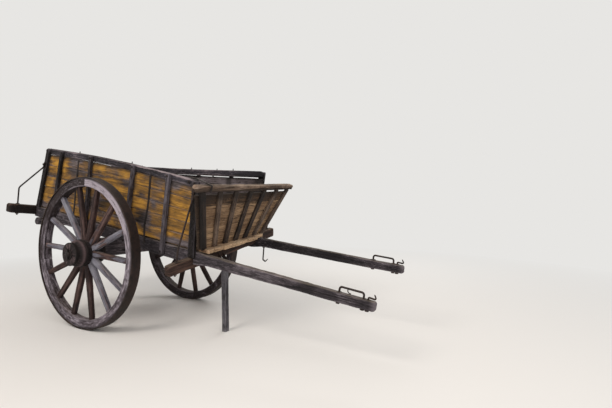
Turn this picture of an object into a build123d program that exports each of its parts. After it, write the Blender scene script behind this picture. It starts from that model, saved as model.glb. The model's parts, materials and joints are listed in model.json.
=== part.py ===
"""Old two-wheeled wooden bullock cart with two shafts, parked nose-down on a prop leg.

Millimetres. +X points forward along the shafts, +Y to the cart's left, +Z up.
Everything is drawn about the middle of the axle and set down on the ground at the end,
with the origin at the bottom centre of the whole cart.

The body is worn and racked: its right side slopes down more steeply than its left side.
A place on the body is given by s, the distance along a side beam from the axle,
y across the cart, and h, the height above the axle square to the side beam.
"""
from build123d import *
import os
from math import cos, pi, radians, sin

# Wheels
WHEEL_R = 800.0
TRACK = 1508.0
TYRE_WIDTH = 105.0
TYRE_THICK = 12.0
FELLOE_DEPTH = 88.0
FELLOE_WIDTH = 92.0
FELLOE_COUNT = 7
FELLOE_GAP = 2.0
SPOKES_PER_FELLOE = 2
FIRST_SPOKE_DEG = 21.8
SPOKE_ROOT_WIDE = 66.0
SPOKE_TIP_WIDE = 52.0
SPOKE_ROOT_THICK = 58.0
SPOKE_TIP_THICK = 46.0
SPOKE_CORNER = 13.0
SPOKE_TENON = 20.0
SPOKE_DISH = 16.0
HUB_SPOKE_R = 138.0
HUB_OUT_R = 113.0
HUB_IN_R = 116.0
HUB_OUT = 173.0
HUB_IN = 150.0
HUB_SEAT_HALF = 72.0
HUB_SWELL = 0.9
SEAT_BAND_WIDE = 22.0
BAND_WIDE = 34.0
BAND_THICK = 7.0

# Axle
AXLE_R = 31.0
AXLE_FIT = 0.06
AXLE_BAR = 62.0
AXLE_STUB = 30.0
LINCH_R = 7.0
LINCH_LONG = 120.0
WASHER_R = 52.0
WASHER_THICK = 8.0
HUB_PLAY = 1.0
BED_WIDE = 118.0
BED_TOP = 142.0
BED_BOTTOM = -62.0
BED_SHORT = 6.0

# Side beams, which run on as the shafts
PITCH_RIGHT = 9.0
PITCH_LEFT = 5.2
HALF_BODY = 500.0
BEAM_WIDE = 72.0
BEAM_LOW = 128.0
BEAM_TOP = 262.0
BEAM_REAR = -1532.0
BODY_FRONT = 1300.0
SHAFT_START = 1430.0
SHAFT_TIP = 3085.0
SHAFT_WIDE = 60.0
SHAFT_LOW = 152.0
SHAFT_TOP = 250.0
TIP_IN = 95.0
TIP_DEEP = 76.0
TIP_MIDDLE_RIGHT = 208.0
TIP_MIDDLE_LEFT = 172.0
TIP_ROUND = 24.0

# Cross-beams and floor
REAR_PAST_BODY = 310.0
REAR_CROSS_S = {"right": -1532.0, "left": -1532.0}
REAR_CROSS_H = {"right": 205.0, "left": 205.0}
REAR_CROSS_WIDE = 100.0
REAR_CROSS_DEEP = 112.0
# The front cross-beam has sagged down and back on the right, where it hangs below the side beam
FRONT_PAST_BODY = 280.0
FRONT_CROSS_S = {"right": 1240.0, "left": 1310.0}
FRONT_CROSS_H = {"right": 142.0, "left": 246.0}
FRONT_CROSS_WIDE = 76.0
FRONT_CROSS_DEEP = 104.0
# Heights between which the side beam is kept whole where the front cross-beam is let into it
HALF_LAP = {"right": (161.0, 262.0), "left": (128.0, 195.0)}
JOIST_STATIONS = (-820.0, 640.0)
JOIST_WIDE = 90.0
JOIST_DEEP = 84.0
LOG_S = -1420.0
LOG_R = 48.0
LOG_PAST_BEAM = 20.0
FLOOR_THICK = 40.0
FLOOR_REAR = -1500.0
PLANK_GAP = 5.0
# Seams of the floor across the cart, from right to left, and the front end of each plank
FLOOR_SEAMS = (-259.0, 58.0, 321.0)
PLANK_FRONTS = (1440.0, 1455.0, 1448.0, 1408.0)
FLOOR_SIDE_GAP = 1.5

# Side walls
BOARD_THICK = 25.0
WALL_LOW = 277.0
RAIL_DEEP = 74.0
RAIL_WIDE = 58.0
RAIL_PAST = 66.0
BOARD_COUNT = 5
BOARD_GAP = 3.0
# Outline of a side wall: place along the beam of its rear end, middle and front end,
# at the bottom and at the top, and the height of the rail's top there
WALL_BOTTOM = (-1432.0, -100.0, 1275.0)
WALL_TOP = {"right": (-1316.0, -100.0, 1190.0), "left": (-1316.0, -100.0, 1335.0)}
RAIL_TOP = {"right": (1019.0, 1010.0, 942.0), "left": (975.0, 986.0, 1020.0)}
# Gap under the rail at the same three stations; it has opened at the front of the left wall
RAIL_GAP = {"right": (0.3, 0.3, 0.3), "left": (0.3, 4.0, 14.0)}
POST_THICK = 36.0
# One row for each upright: place along the beam at its foot and at its head, its width,
# and the height of its foot
UPRIGHTS = (
    (-1069.0, -995.0, 42.0, 150.0),
    (-425.0, -432.0, 42.0, 150.0),
    (290.0, 308.0, 42.0, 150.0),
    (857.0, 839.0, 46.0, 150.0),
)
REAR_POST = (-1407.0, -1282.0, 60.0, 262.0)
CORNER_POSTS = {
    "right": (REAR_POST, (1258.0, 1206.0, 80.0, 200.0)),
    "left": (REAR_POST, (1258.0, 1300.0, 80.0, 200.0)),
}
POST_LINE_LOW = 277.0
POST_LINE_TOP = 1000.0
POST_BELOW_RAIL = 6.0
STRAP_WIDE = 24.0
STRAP_THICK = 6.0
# One row for each iron strap: place at its foot and its head, heights of both
STRAPS = ((-690.0, -682.0, 205.0, 940.0), (576.0, 562.0, 205.0, 925.0))

# Front board, flared forward and outward
FRONT_FOOT_S = 1352.0
FRONT_HEAD_S = 1502.0
FRONT_FOOT_OUT = 28.0
FRONT_HEAD_OUT = 312.0
FRONT_HEAD_H = {"right": 862.0, "left": 842.0}
FRONT_THICK = 24.0
FRONT_BOARDS = 5
FRONT_SLOT = 34.0
FRONT_RAIL_DEEP = 58.0
FRONT_RAIL_WIDE = 66.0
FRONT_RAIL_OVERHANG = 34.0
BATTEN_THICK = 26.0
# One row for each batten of the front board: place across it from 0 to 1 and its width
FRONT_BATTENS = (
    (0.045, 70.0),
    (0.195, 58.0),
    (0.345, 62.0),
    (0.50, 64.0),
    (0.655, 62.0),
    (0.81, 58.0),
    (0.955, 66.0),
)

# Tail board
TAIL_FOOT_S = -1392.0
TAIL_HEAD_S = -1292.0
TAIL_HEAD_H = {"right": 900.0, "left": 872.0}
TAIL_BOARDS = 4
TAIL_BATTENS = (0.12, 0.5, 0.88)
TAIL_BATTEN_WIDE = 70.0

# Iron stays of the corner posts
STAY_R = 9.0
# For the rear and the front stays: how far the foot stands out beyond the body, and how far
# above the cross-beam's middle the knee is
STAY_FOOT_OUT = (200.0, 170.0)
STAY_KNEE_H = (264.0, 176.0)
STAY_HEAD_H = 838.0
STAY_BEND_R = 60.0
STAY_FLAT = 58.0
STAY_BELOW = 24.0

# Harness irons on the shafts
STAPLE_R = 9.0
STAPLE_RISE = 46.0
STAPLE_LONG = 205.0
STAPLE_REAR = 2770.0
STAPLE_BEND_R = 20.0
STAPLE_NUT_R = 15.0
STAPLE_NUT_DEEP = 14.0
HOOK_R = 8.0
HOOK_LONG = 66.0
HOOK_AHEAD = 38.0
HOOK_RISE = 22.0
HOOK_DIP = -6.0
HOOK_BACK = 22.0
HOOK_OPEN = 30.0
HOOK_BEND_R = 10.0

# Iron hook that hangs under the left shaft
DROP_HOOK_S = 1440.0
DROP_HOOK_LONG = 150.0
DROP_HOOK_R = 8.0
DROP_HOOK_BEND = 34.0

# Prop leg
PROP_X = 1365.0
PROP_Y = -130.0
PROP_PIVOT_Z = -90.0
PROP_SIDE = 56.0
PROP_FOOT_SIDE = 52.0
PROP_LEAN = 8.0
PROP_PIN_R = 9.0
PROP_PIN_FIT = 0.08
CHEEK_THICK = 7.0
CHEEK_GAP = 1.5
CHEEK_WIDE = 58.0
CHEEK_BACK = 85.0
CHEEK_TOP_Z = 20.0

# Smallest clearance between pieces that rest against each other
SEAT = 0.3
# Bow below which an edge is drawn straight
LEAST_BOW = 0.5
# Depth by which the end walls start below the floor's top before they are cut to it
SINK = 8.0
SPOKE_COUNT = FELLOE_COUNT * SPOKES_PER_FELLOE
SIDES = {"right": -1, "left": 1}
WHEEL_Y = TRACK / 2
HUB_END = WHEEL_Y + HUB_OUT
HUB_ROOT = WHEEL_Y - HUB_IN
RIM_OUT_R = WHEEL_R - TYRE_THICK
RIM_IN_R = RIM_OUT_R - FELLOE_DEPTH
BODY_LONG = 2 * (SHAFT_TIP - BEAM_REAR)
FLOOR_LOW = BEAM_TOP
LOG_H = BEAM_LOW - LOG_R - SEAT
LOG_HALF = HALF_BODY + LOG_PAST_BEAM
FLOOR_TOP = FLOOR_LOW + FLOOR_THICK
MEAN_PITCH = (PITCH_RIGHT + PITCH_LEFT) / 2
BEAM_IN_Y = HALF_BODY - BEAM_WIDE
REAR_REACH = HALF_BODY + REAR_PAST_BODY
FRONT_REACH = HALF_BODY + FRONT_PAST_BODY
POST_OUT_Y = HALF_BODY + POST_THICK
TIP_Y = HALF_BODY - TIP_IN
FLOOR_HALF = HALF_BODY - BOARD_THICK - FLOOR_SIDE_GAP

nodes = {}


def pitch_at(y):
    """Slope of the body in degrees, nose down, at a place across the cart."""
    across = max(-1.0, min(1.0, y / HALF_BODY))
    return MEAN_PITCH + across * (PITCH_LEFT - PITCH_RIGHT) / 2


def at(s, y, h):
    """Point of the racked body, from place along, across and above the side beams."""
    slope = radians(pitch_at(y))
    return Vector(s * cos(slope) + h * sin(slope), y, -s * sin(slope) + h * cos(slope))


def keep(name, *solids):
    """Put solids under a node's name."""
    nodes.setdefault(name, []).extend(solids)


def plate(points, y_low, y_high):
    """Solid of a side-view outline, points of (s, h), between two places across."""
    outline = Polygon(*points, align=None)
    face = Plane((0, y_high, 0), x_dir=(1, 0, 0), z_dir=(0, -1, 0)) * outline
    return extrude(face, amount=y_high - y_low, dir=(0, -1, 0))


def side_plate(points, side, inner, outer):
    """Plate on one side of the body, between two distances from the cart's middle."""
    low, high = sorted((side * inner, side * outer))
    pitch = PITCH_LEFT if side > 0 else PITCH_RIGHT
    return plate(points, low, high).rotate(Axis.Y, pitch)


def beam(start, end, wide, deep):
    """Straight timber of rectangular section between two points, square to the body."""
    along = end - start
    slope = radians(MEAN_PITCH)
    up = Vector(sin(slope), 0, cos(slope))
    normal = up - along * (up.dot(along) / along.dot(along))
    middle = (start + end) * 0.5
    return Plane(middle, x_dir=along, z_dir=normal) * Box(along.length, wide, deep)


def rod(points, radius, bend):
    """Round iron through some points, bent on one radius at each inner point."""
    path = FilletPolyline(*points, radius=bend)
    start = Plane(path @ 0, z_dir=path % 0)
    return sweep(start * Circle(radius), path=path)


def only(shape):
    """Largest solid of a shape."""
    return max(shape.solids(), key=lambda piece: piece.volume)


def seat_on(piece, blockers):
    """Piece cut to sit exactly on what it meets."""
    for blocker in blockers:
        piece -= blocker
    return only(piece)


def across(stations, heights, y):
    """Point on a straight line that crosses the side beams at given places and heights."""
    right = at(stations["right"], -HALF_BODY, heights["right"])
    left = at(stations["left"], HALF_BODY, heights["left"])
    return right + (left - right) * ((y + HALF_BODY) / (2 * HALF_BODY))


def body_up(pitch):
    """Direction square to the side beams for a slope in degrees."""
    return Vector(sin(radians(pitch)), 0, cos(radians(pitch)))


def ring(outer, inner, y_low, y_high):
    """Flat ring about the axle between two places across."""
    band = Circle(outer) - Circle(inner)
    face = Plane((0, y_high, 0), x_dir=(1, 0, 0), z_dir=(0, -1, 0)) * band
    return extrude(face, amount=y_high - y_low, dir=(0, -1, 0))


def disc(radius, y_low, y_high, x=0.0, z=0.0):
    """Round bar across the cart."""
    face = Plane((x, y_high, z), x_dir=(1, 0, 0), z_dir=(0, -1, 0)) * Circle(radius)
    return extrude(face, amount=y_high - y_low, dir=(0, -1, 0))


def hub_solid():
    """Turned hub of the left wheel, thickest where the spokes enter, bored for the axle."""
    inner_seat = WHEEL_Y - HUB_SEAT_HALF
    outer_seat = WHEEL_Y + HUB_SEAT_HALF
    inner_neck = HUB_ROOT + BAND_WIDE
    outer_neck = HUB_END - BAND_WIDE
    inner_swell = (HUB_IN_R + (HUB_SPOKE_R - HUB_IN_R) * HUB_SWELL, (inner_neck + inner_seat) / 2)
    outer_swell = (HUB_OUT_R + (HUB_SPOKE_R - HUB_OUT_R) * HUB_SWELL, (outer_neck + outer_seat) / 2)
    outline = [
        Line((0, HUB_ROOT), (HUB_IN_R, HUB_ROOT)),
        Line((HUB_IN_R, HUB_ROOT), (HUB_IN_R, inner_neck)),
        Line((HUB_IN_R, inner_neck), inner_swell),
        Line(inner_swell, (HUB_SPOKE_R, inner_seat)),
        Line((HUB_SPOKE_R, inner_seat), (HUB_SPOKE_R, outer_seat)),
        Line((HUB_SPOKE_R, outer_seat), outer_swell),
        Line(outer_swell, (HUB_OUT_R, outer_neck)),
        Line((HUB_OUT_R, outer_neck), (HUB_OUT_R, HUB_END)),
        Line((HUB_OUT_R, HUB_END), (0, HUB_END)),
        Line((0, HUB_END), (0, HUB_ROOT)),
    ]
    turned = revolve(make_face(outline), axis=Axis.Y)
    return turned - disc(AXLE_R + AXLE_FIT, HUB_ROOT - 1, HUB_END + 1)


def hub_bands():
    """Iron bands shrunk on both ends of the hub and on both sides of the spokes."""
    inner_seat = WHEEL_Y - HUB_SEAT_HALF
    outer_seat = WHEEL_Y + HUB_SEAT_HALF
    return [
        ring(HUB_IN_R + BAND_THICK, HUB_IN_R, HUB_ROOT, HUB_ROOT + BAND_WIDE),
        ring(HUB_OUT_R + BAND_THICK, HUB_OUT_R, HUB_END - BAND_WIDE, HUB_END),
        ring(HUB_SPOKE_R + BAND_THICK, HUB_SPOKE_R, inner_seat, inner_seat + SEAT_BAND_WIDE),
        ring(HUB_SPOKE_R + BAND_THICK, HUB_SPOKE_R, outer_seat - SEAT_BAND_WIDE, outer_seat),
    ]


def spoke_section(radius, wide, thick, y):
    """Chamfered section of a spoke at a distance from the axle."""
    outline = chamfer(Rectangle(wide, thick).vertices(), SPOKE_CORNER)
    return Plane((0, y, radius), x_dir=(1, 0, 0), z_dir=(0, 0, 1)) * outline


def spoke_solid(rim):
    """Tapered spoke that stands on top of the left wheel's hub and ends in the rim."""
    root = spoke_section(HUB_SPOKE_R - SPOKE_TENON, SPOKE_ROOT_WIDE, SPOKE_ROOT_THICK,
                         WHEEL_Y - SPOKE_DISH)
    tip = spoke_section(RIM_IN_R + SPOKE_TENON, SPOKE_TIP_WIDE, SPOKE_TIP_THICK, WHEEL_Y)
    shaft = loft([root, tip], ruled=True)
    return only(shaft - disc(HUB_SPOKE_R, HUB_ROOT, HUB_END) - rim)


def felloe_solid():
    """One felloe, a curved timber of the rim, centred on top of the left wheel."""
    half_turn = pi / FELLOE_COUNT - FELLOE_GAP / 2 / RIM_OUT_R
    corners = []
    for radius, sign in ((RIM_IN_R, -1), (RIM_IN_R, 0), (RIM_IN_R, 1),
                         (RIM_OUT_R, 1), (RIM_OUT_R, 0), (RIM_OUT_R, -1)):
        corners.append((radius * sin(sign * half_turn), radius * cos(sign * half_turn)))
    outline = [
        ThreePointArc(corners[0], corners[1], corners[2]),
        Line(corners[2], corners[3]),
        ThreePointArc(corners[3], corners[4], corners[5]),
        Line(corners[5], corners[0]),
    ]
    face = Plane((0, WHEEL_Y + FELLOE_WIDTH / 2, 0), x_dir=(1, 0, 0), z_dir=(0, -1, 0)) * (
        make_face(outline))
    return extrude(face, amount=FELLOE_WIDTH, dir=(0, -1, 0))


def make_wheel(name, side):
    """Hub, bands, spokes, felloes and tyre of one wheel."""
    rim = ring(WHEEL_R, RIM_IN_R, WHEEL_Y - TYRE_WIDTH, WHEEL_Y + TYRE_WIDTH)
    spoke = spoke_solid(rim)
    felloe = felloe_solid()
    step = 360 / SPOKE_COUNT
    first = 90 - FIRST_SPOKE_DEG
    spokes = [spoke.rotate(Axis.Y, first - step * count) for count in range(SPOKE_COUNT)]
    turn = 360 / FELLOE_COUNT
    lead = first + step / 2
    felloes = [felloe.rotate(Axis.Y, lead - turn * count) for count in range(FELLOE_COUNT)]
    tyre = ring(WHEEL_R, RIM_OUT_R, WHEEL_Y - TYRE_WIDTH / 2, WHEEL_Y + TYRE_WIDTH / 2)
    parts = {
        "hub": [hub_solid()],
        "hub_bands": hub_bands(),
        "spokes": spokes,
        "felloes": felloes,
        "tyre": [tyre],
    }
    for part, solids in parts.items():
        if side < 0:
            solids = [solid.mirror(Plane.XZ) for solid in solids]
        keep(f"{part}_{name}", *solids)


def make_axle():
    """Iron axle with its linch pins and washers, and the wooden bed that it lies in."""
    arm_end = HUB_END + AXLE_STUB
    bar_half = HUB_ROOT - HUB_PLAY
    bar = Box(AXLE_BAR, 2 * bar_half, AXLE_BAR)
    axle = bar + disc(AXLE_R, -arm_end, arm_end)
    pin_y = HUB_END + HUB_PLAY + WASHER_THICK + LINCH_R + SEAT
    pins = []
    washers = []
    for side in SIDES.values():
        pin = Pos(0, side * pin_y, 0) * Cylinder(LINCH_R, LINCH_LONG)
        pins.append(pin)
        low, high = sorted((side * (HUB_END + HUB_PLAY), side * (HUB_END + HUB_PLAY + WASHER_THICK)))
        washers.append(ring(WASHER_R, AXLE_R, low, high))
    for pin in pins:
        axle -= pin
    bed_half = bar_half - BED_SHORT
    bed = Pos(0, 0, (BED_TOP + BED_BOTTOM) / 2) * Box(BED_WIDE, 2 * bed_half, BED_TOP - BED_BOTTOM)
    for name, side in SIDES.items():
        bed -= nodes[f"side_beam_{name}"][0]
    bed -= bar
    keep("axle", axle)
    keep("linch_pins", *pins)
    keep("axle_washers", *washers)
    keep("axle_bed", only(bed))


def make_side_beam(name, side):
    """One long beam: sill of the body at the rear, shaft at the front."""
    middle = TIP_MIDDLE_LEFT if side > 0 else TIP_MIDDLE_RIGHT
    tip_top = middle + TIP_DEEP / 2
    tip_low = middle - TIP_DEEP / 2
    side_view = Polygon(
        (BEAM_REAR, BEAM_LOW),
        (BODY_FRONT, BEAM_LOW),
        (SHAFT_START, SHAFT_LOW),
        (SHAFT_TIP - TIP_ROUND, tip_low),
        (SHAFT_TIP, tip_low + TIP_ROUND),
        (SHAFT_TIP, tip_top - TIP_ROUND),
        (SHAFT_TIP - TIP_ROUND, tip_top),
        (SHAFT_START, SHAFT_TOP),
        (BODY_FRONT, BEAM_TOP),
        (BEAM_REAR, BEAM_TOP),
        align=None)
    plan_view = Polygon(
        (BEAM_REAR, side * BEAM_IN_Y),
        (BODY_FRONT, side * BEAM_IN_Y),
        (SHAFT_TIP, side * (TIP_Y - SHAFT_WIDE / 2)),
        (SHAFT_TIP, side * (TIP_Y + SHAFT_WIDE / 2)),
        (BODY_FRONT, side * HALF_BODY),
        (BEAM_REAR, side * HALF_BODY),
        align=None)
    reach = 2 * HALF_BODY
    face = Plane((0, reach, 0), x_dir=(1, 0, 0), z_dir=(0, -1, 0)) * side_view
    side_block = extrude(face, amount=2 * reach, dir=(0, -1, 0))
    plan_block = extrude(plan_view, amount=2 * BEAM_TOP, dir=(0, 0, 1))
    timber = side_block & plan_block
    pitch = PITCH_LEFT if side > 0 else PITCH_RIGHT
    keep(f"side_beam_{name}", only(timber.rotate(Axis.Y, pitch)))


def make_floor():
    """Floor planks that run the length of the body, each following the racked frame."""
    half_gap = PLANK_GAP / 2
    lows = [-FLOOR_HALF] + [seam + half_gap for seam in FLOOR_SEAMS]
    highs = [seam - half_gap for seam in FLOOR_SEAMS] + [FLOOR_HALF]
    planks = []
    for low_y, high_y, front in zip(lows, highs, PLANK_FRONTS):
        ends = []
        for s in (FLOOR_REAR, front):
            right = at(s, low_y, FLOOR_LOW)
            left = at(s, high_y, FLOOR_LOW)
            thick = body_up(pitch_at((low_y + high_y) / 2)) * FLOOR_THICK
            ends.append(Wire.make_polygon([right, left, left + thick, right + thick]))
        plank = Solid.make_loft(ends, ruled=True)
        planks.append(seat_on(plank, nodes["side_beam_right"] + nodes["side_beam_left"]))
    keep("floor_planks", *planks)


def make_cross_beams():
    """Cross-beams that stick out beyond the body at both ends, joists and the round log."""
    beams = [nodes["side_beam_right"][0], nodes["side_beam_left"][0]]
    planks = nodes["floor_planks"]
    front = beam(across(FRONT_CROSS_S, FRONT_CROSS_H, -FRONT_REACH),
                 across(FRONT_CROSS_S, FRONT_CROSS_H, FRONT_REACH),
                 FRONT_CROSS_WIDE, FRONT_CROSS_DEEP)
    rear = beam(across(REAR_CROSS_S, REAR_CROSS_H, -REAR_REACH),
                across(REAR_CROSS_S, REAR_CROSS_H, REAR_REACH),
                REAR_CROSS_WIDE, REAR_CROSS_DEEP)
    for timber, (name, side) in zip(beams, SIDES.items()):
        lap_rear = FRONT_CROSS_S[name] - 2 * FRONT_CROSS_WIDE
        lap_front = FRONT_CROSS_S[name] + 2 * FRONT_CROSS_WIDE
        low, top = HALF_LAP[name]
        lap = [(lap_rear, low), (lap_front, low), (lap_front, top), (lap_rear, top)]
        front -= timber & side_plate(lap, side, BEAM_IN_Y - BEAM_WIDE, HALF_BODY + BEAM_WIDE)
    for timber in planks:
        front -= timber
        rear -= timber
    front = only(front)
    rear = only(rear)
    for name in SIDES:
        node = f"side_beam_{name}"
        nodes[node] = [only(nodes[node][0] - rear - front)]
    inside = Box(BODY_LONG, 2 * BEAM_IN_Y, BODY_LONG)
    middle_h = FLOOR_LOW - JOIST_DEEP / 2
    keep("cross_beam_front", front)
    keep("cross_beam_rear", rear)
    joists = []
    for s in JOIST_STATIONS:
        joist = beam(at(s, -HALF_BODY, middle_h), at(s, HALF_BODY, middle_h), JOIST_WIDE, JOIST_DEEP)
        joist = joist & inside
        for plank in planks:
            joist -= plank
        joists.append(only(joist))
    keep("joists", *joists)
    start = at(LOG_S, -LOG_HALF, LOG_H)
    along = at(LOG_S, LOG_HALF, LOG_H) - start
    log = extrude(Plane(start, z_dir=along) * Circle(LOG_R), amount=along.length, dir=along)
    keep("rear_log", seat_on(log, nodes["side_beam_right"] + nodes["side_beam_left"]))


def wall_point(name, station, share):
    """Point of a side wall, (s, h), at a station and a share of the height up to its rail."""
    top = RAIL_TOP[name][station] - RAIL_DEEP
    s = WALL_BOTTOM[station] + (WALL_TOP[name][station] - WALL_BOTTOM[station]) * share
    return s, WALL_LOW + (top - WALL_LOW) * share


def bowed_edge(points):
    """Arc through three points, or a straight line where they hardly leave it."""
    start, middle, end = [Vector(*point) for point in points]
    bow = (middle - start).cross((end - start).normalized()).length
    return ThreePointArc(start, middle, end) if bow > LEAST_BOW else Line(start, end)


def bowed_plate(low, top, side, inner, outer):
    """Plate on one side of the body between two bowed edges, three points (s, h) for each."""
    outline = [bowed_edge(low), Line(low[2], top[2]), bowed_edge(top[::-1]), Line(top[0], low[0])]
    near, far = sorted((side * inner, side * outer))
    face = Plane((0, far, 0), x_dir=(1, 0, 0), z_dir=(0, -1, 0)) * make_face(outline)
    solid = extrude(face, amount=far - near, dir=(0, -1, 0))
    return solid.rotate(Axis.Y, PITCH_LEFT if side > 0 else PITCH_RIGHT)


def make_side_wall(name, side):
    """Boards, rail, uprights, corner posts and iron straps of one side wall."""
    boards = []
    ends = nodes["cross_beam_front"] + nodes["cross_beam_rear"]
    half_gap = BOARD_GAP / 2
    for count in range(BOARD_COUNT):
        low = [wall_point(name, station, count / BOARD_COUNT) for station in range(3)]
        top = [wall_point(name, station, (count + 1) / BOARD_COUNT) for station in range(3)]
        raised = half_gap if count else 0.0
        lowered = [half_gap] * 3 if count < BOARD_COUNT - 1 else RAIL_GAP[name]
        board = bowed_plate([(s, h + raised) for s, h in low],
                            [(s, h - drop) for (s, h), drop in zip(top, lowered)],
                            side, HALF_BODY - BOARD_THICK, HALF_BODY)
        boards.append(seat_on(board, ends))
    rear, middle, front = WALL_TOP[name]
    rail_top = [(s, rail_height(name, s)) for s in (rear - RAIL_PAST, middle, front)]
    rail_low = [(s, h - RAIL_DEEP) for s, h in rail_top]
    rail = bowed_plate(rail_low, rail_top, side, HALF_BODY - RAIL_WIDE, HALF_BODY)
    posts = [side_plate(post_outline(name, *row), side, HALF_BODY, POST_OUT_Y) for row in UPRIGHTS]
    corners = [seat_on(side_plate(post_outline(name, *row), side, HALF_BODY, POST_OUT_Y), ends)
               for row in CORNER_POSTS[name]]
    straps = []
    for foot_s, head_s, foot_h, head_h in STRAPS:
        half = STRAP_WIDE / 2
        outline = [(foot_s - half, foot_h), (foot_s + half, foot_h),
                   (head_s + half, head_h), (head_s - half, head_h)]
        straps.append(side_plate(outline, side, HALF_BODY, HALF_BODY + STRAP_THICK))
    keep(f"side_boards_{name}", *boards)
    keep(f"top_rail_{name}", rail)
    keep(f"uprights_{name}", *posts)
    keep(f"corner_posts_{name}", *corners)
    keep(f"side_straps_{name}", *straps)


def rail_height(name, s):
    """Height of the rail's top at a place along the body, on the parabola of its bow."""
    rear, middle, front = WALL_TOP[name]
    rear_h, middle_h, front_h = RAIL_TOP[name]
    first = (middle_h - rear_h) / (middle - rear)
    second = (front_h - middle_h) / (front - middle)
    bend = (second - first) / (front - rear)
    return rear_h + first * (s - rear) + bend * (s - rear) * (s - middle)


def post_outline(name, foot_s, head_s, wide, foot_h):
    """Side view of an upright whose middle line leans from its foot to its head."""
    head_h = rail_height(name, head_s) - POST_BELOW_RAIL
    lean = (head_s - foot_s) / (POST_LINE_TOP - POST_LINE_LOW)
    low_s = foot_s + lean * (foot_h - POST_LINE_LOW)
    top_s = foot_s + lean * (head_h - POST_LINE_LOW)
    half = wide / 2
    return [(low_s - half, foot_h), (low_s + half, foot_h), (top_s + half, head_h),
            (top_s - half, head_h)]


class EndWall:
    """Flat end wall between four corners of the body, drawn in its own plane."""

    def __init__(self, foot_s, head_s, foot_half, head_half, foot_h, head_h):
        foot_right = at(foot_s, -foot_half, foot_h)
        foot_left = at(foot_s, foot_half, foot_h)
        head_right = at(head_s, -head_half, head_h["right"])
        head_left = at(head_s, head_half, head_h["left"])
        across_wall = (foot_left - foot_right).normalized() + (head_left - head_right).normalized()
        up_wall = (head_right + head_left) - (foot_right + foot_left)
        middle = (foot_right + foot_left + head_right + head_left) * 0.25
        self.plane = Plane(middle, x_dir=across_wall, z_dir=across_wall.cross(up_wall))
        flat = [self.plane.to_local_coords(point) for point in
                (foot_right, foot_left, head_right, head_left)]
        self.corners = [Vector(point.X, point.Y) for point in flat]

    def point(self, share_across, share_up, rise=0.0):
        """Point in the wall's plane, with an extra rise along the wall."""
        foot_right, foot_left, head_right, head_left = self.corners
        foot = foot_right + (foot_left - foot_right) * share_across
        head = head_right + (head_left - head_right) * share_across
        spot = foot + (head - foot) * share_up
        return spot.X, spot.Y + rise

    def slab(self, outline, back, front):
        """Solid of an outline in the wall's plane, between two depths."""
        face = self.plane.offset(back) * Polygon(*outline, align=None)
        return extrude(face, amount=front - back, dir=self.plane.z_dir)

    def boards(self, count, gap, top_slot, thick):
        """Level boards that fill the wall, with a slot under its head."""
        _, foot_y = self.point(0.5, 0)
        _, head_y = self.point(0.5, 1)
        full = 1 - top_slot / (head_y - foot_y)
        solids = []
        for number in range(count):
            low = full * number / count
            top = full * (number + 1) / count
            trim = gap if number < count - 1 else 0.0
            outline = [self.point(0, low), self.point(1, low),
                       self.point(1, top, -trim), self.point(0, top, -trim)]
            solids.append(self.slab(outline, -thick, 0))
        return solids

    def batten(self, share, wide, back, front):
        """Upright batten at a share of the wall's width."""
        foot_x, foot_y = self.point(share, 0)
        head_x, head_y = self.point(share, 1)
        half = wide / 2
        slope_low = self.edge_slope(0)
        slope_top = self.edge_slope(1)
        outline = [(foot_x - half, foot_y - half * slope_low),
                   (foot_x + half, foot_y + half * slope_low),
                   (head_x + half, head_y + half * slope_top),
                   (head_x - half, head_y - half * slope_top)]
        return self.slab(outline, back, front)

    def edge_slope(self, share_up):
        """Rise over run of a level line of the wall, in its own plane."""
        right = self.point(0, share_up)
        left = self.point(1, share_up)
        return (left[1] - right[1]) / (left[0] - right[0])


def make_front_board():
    """Front board, flared forward and outward, with battens and a rail on its head."""
    wall = EndWall(FRONT_FOOT_S, FRONT_HEAD_S, HALF_BODY + FRONT_FOOT_OUT,
                   HALF_BODY + FRONT_HEAD_OUT, FLOOR_TOP - SINK, FRONT_HEAD_H)
    boards = wall.boards(FRONT_BOARDS, BOARD_GAP, FRONT_SLOT, FRONT_THICK)
    battens = [wall.batten(share, wide, 0, BATTEN_THICK) for share, wide in FRONT_BATTENS]
    right_low = wall.point(0, 1)
    left_low = wall.point(1, 1)
    slope = wall.edge_slope(1)
    start = (right_low[0] - FRONT_RAIL_OVERHANG, right_low[1] - FRONT_RAIL_OVERHANG * slope)
    stop = (left_low[0] + FRONT_RAIL_OVERHANG, left_low[1] + FRONT_RAIL_OVERHANG * slope)
    outline = [start, stop, (stop[0], stop[1] + FRONT_RAIL_DEEP), (start[0], start[1] + FRONT_RAIL_DEEP)]
    rail_back = (BATTEN_THICK - FRONT_THICK - FRONT_RAIL_WIDE) / 2
    rail = wall.slab(outline, rail_back, rail_back + FRONT_RAIL_WIDE)
    blockers = (nodes["floor_planks"] + nodes["side_beam_right"] + nodes["side_beam_left"]
                + nodes["cross_beam_front"])
    keep("front_boards", *[seat_on(board, blockers) for board in boards])
    keep("front_battens", *[seat_on(batten, blockers) for batten in battens])
    keep("front_rail", rail)


def make_tail_board():
    """Tail board between the side walls, square to the floor's slope, with battens behind."""
    half = HALF_BODY - BOARD_THICK - SEAT
    wall = EndWall(TAIL_FOOT_S, TAIL_HEAD_S, half, half, FLOOR_TOP - SINK, TAIL_HEAD_H)
    boards = wall.boards(TAIL_BOARDS, BOARD_GAP, 0.0, BOARD_THICK)
    inside = Box(BODY_LONG, 2 * half, BODY_LONG)
    battens = [wall.batten(share, TAIL_BATTEN_WIDE, -BOARD_THICK - BATTEN_THICK, -BOARD_THICK)
               for share in TAIL_BATTENS]
    blockers = nodes["floor_planks"]
    keep("tail_boards", *[only(seat_on(board, blockers) & inside) for board in boards])
    keep("tail_battens", *[only(seat_on(batten, blockers) & inside) for batten in battens])


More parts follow.
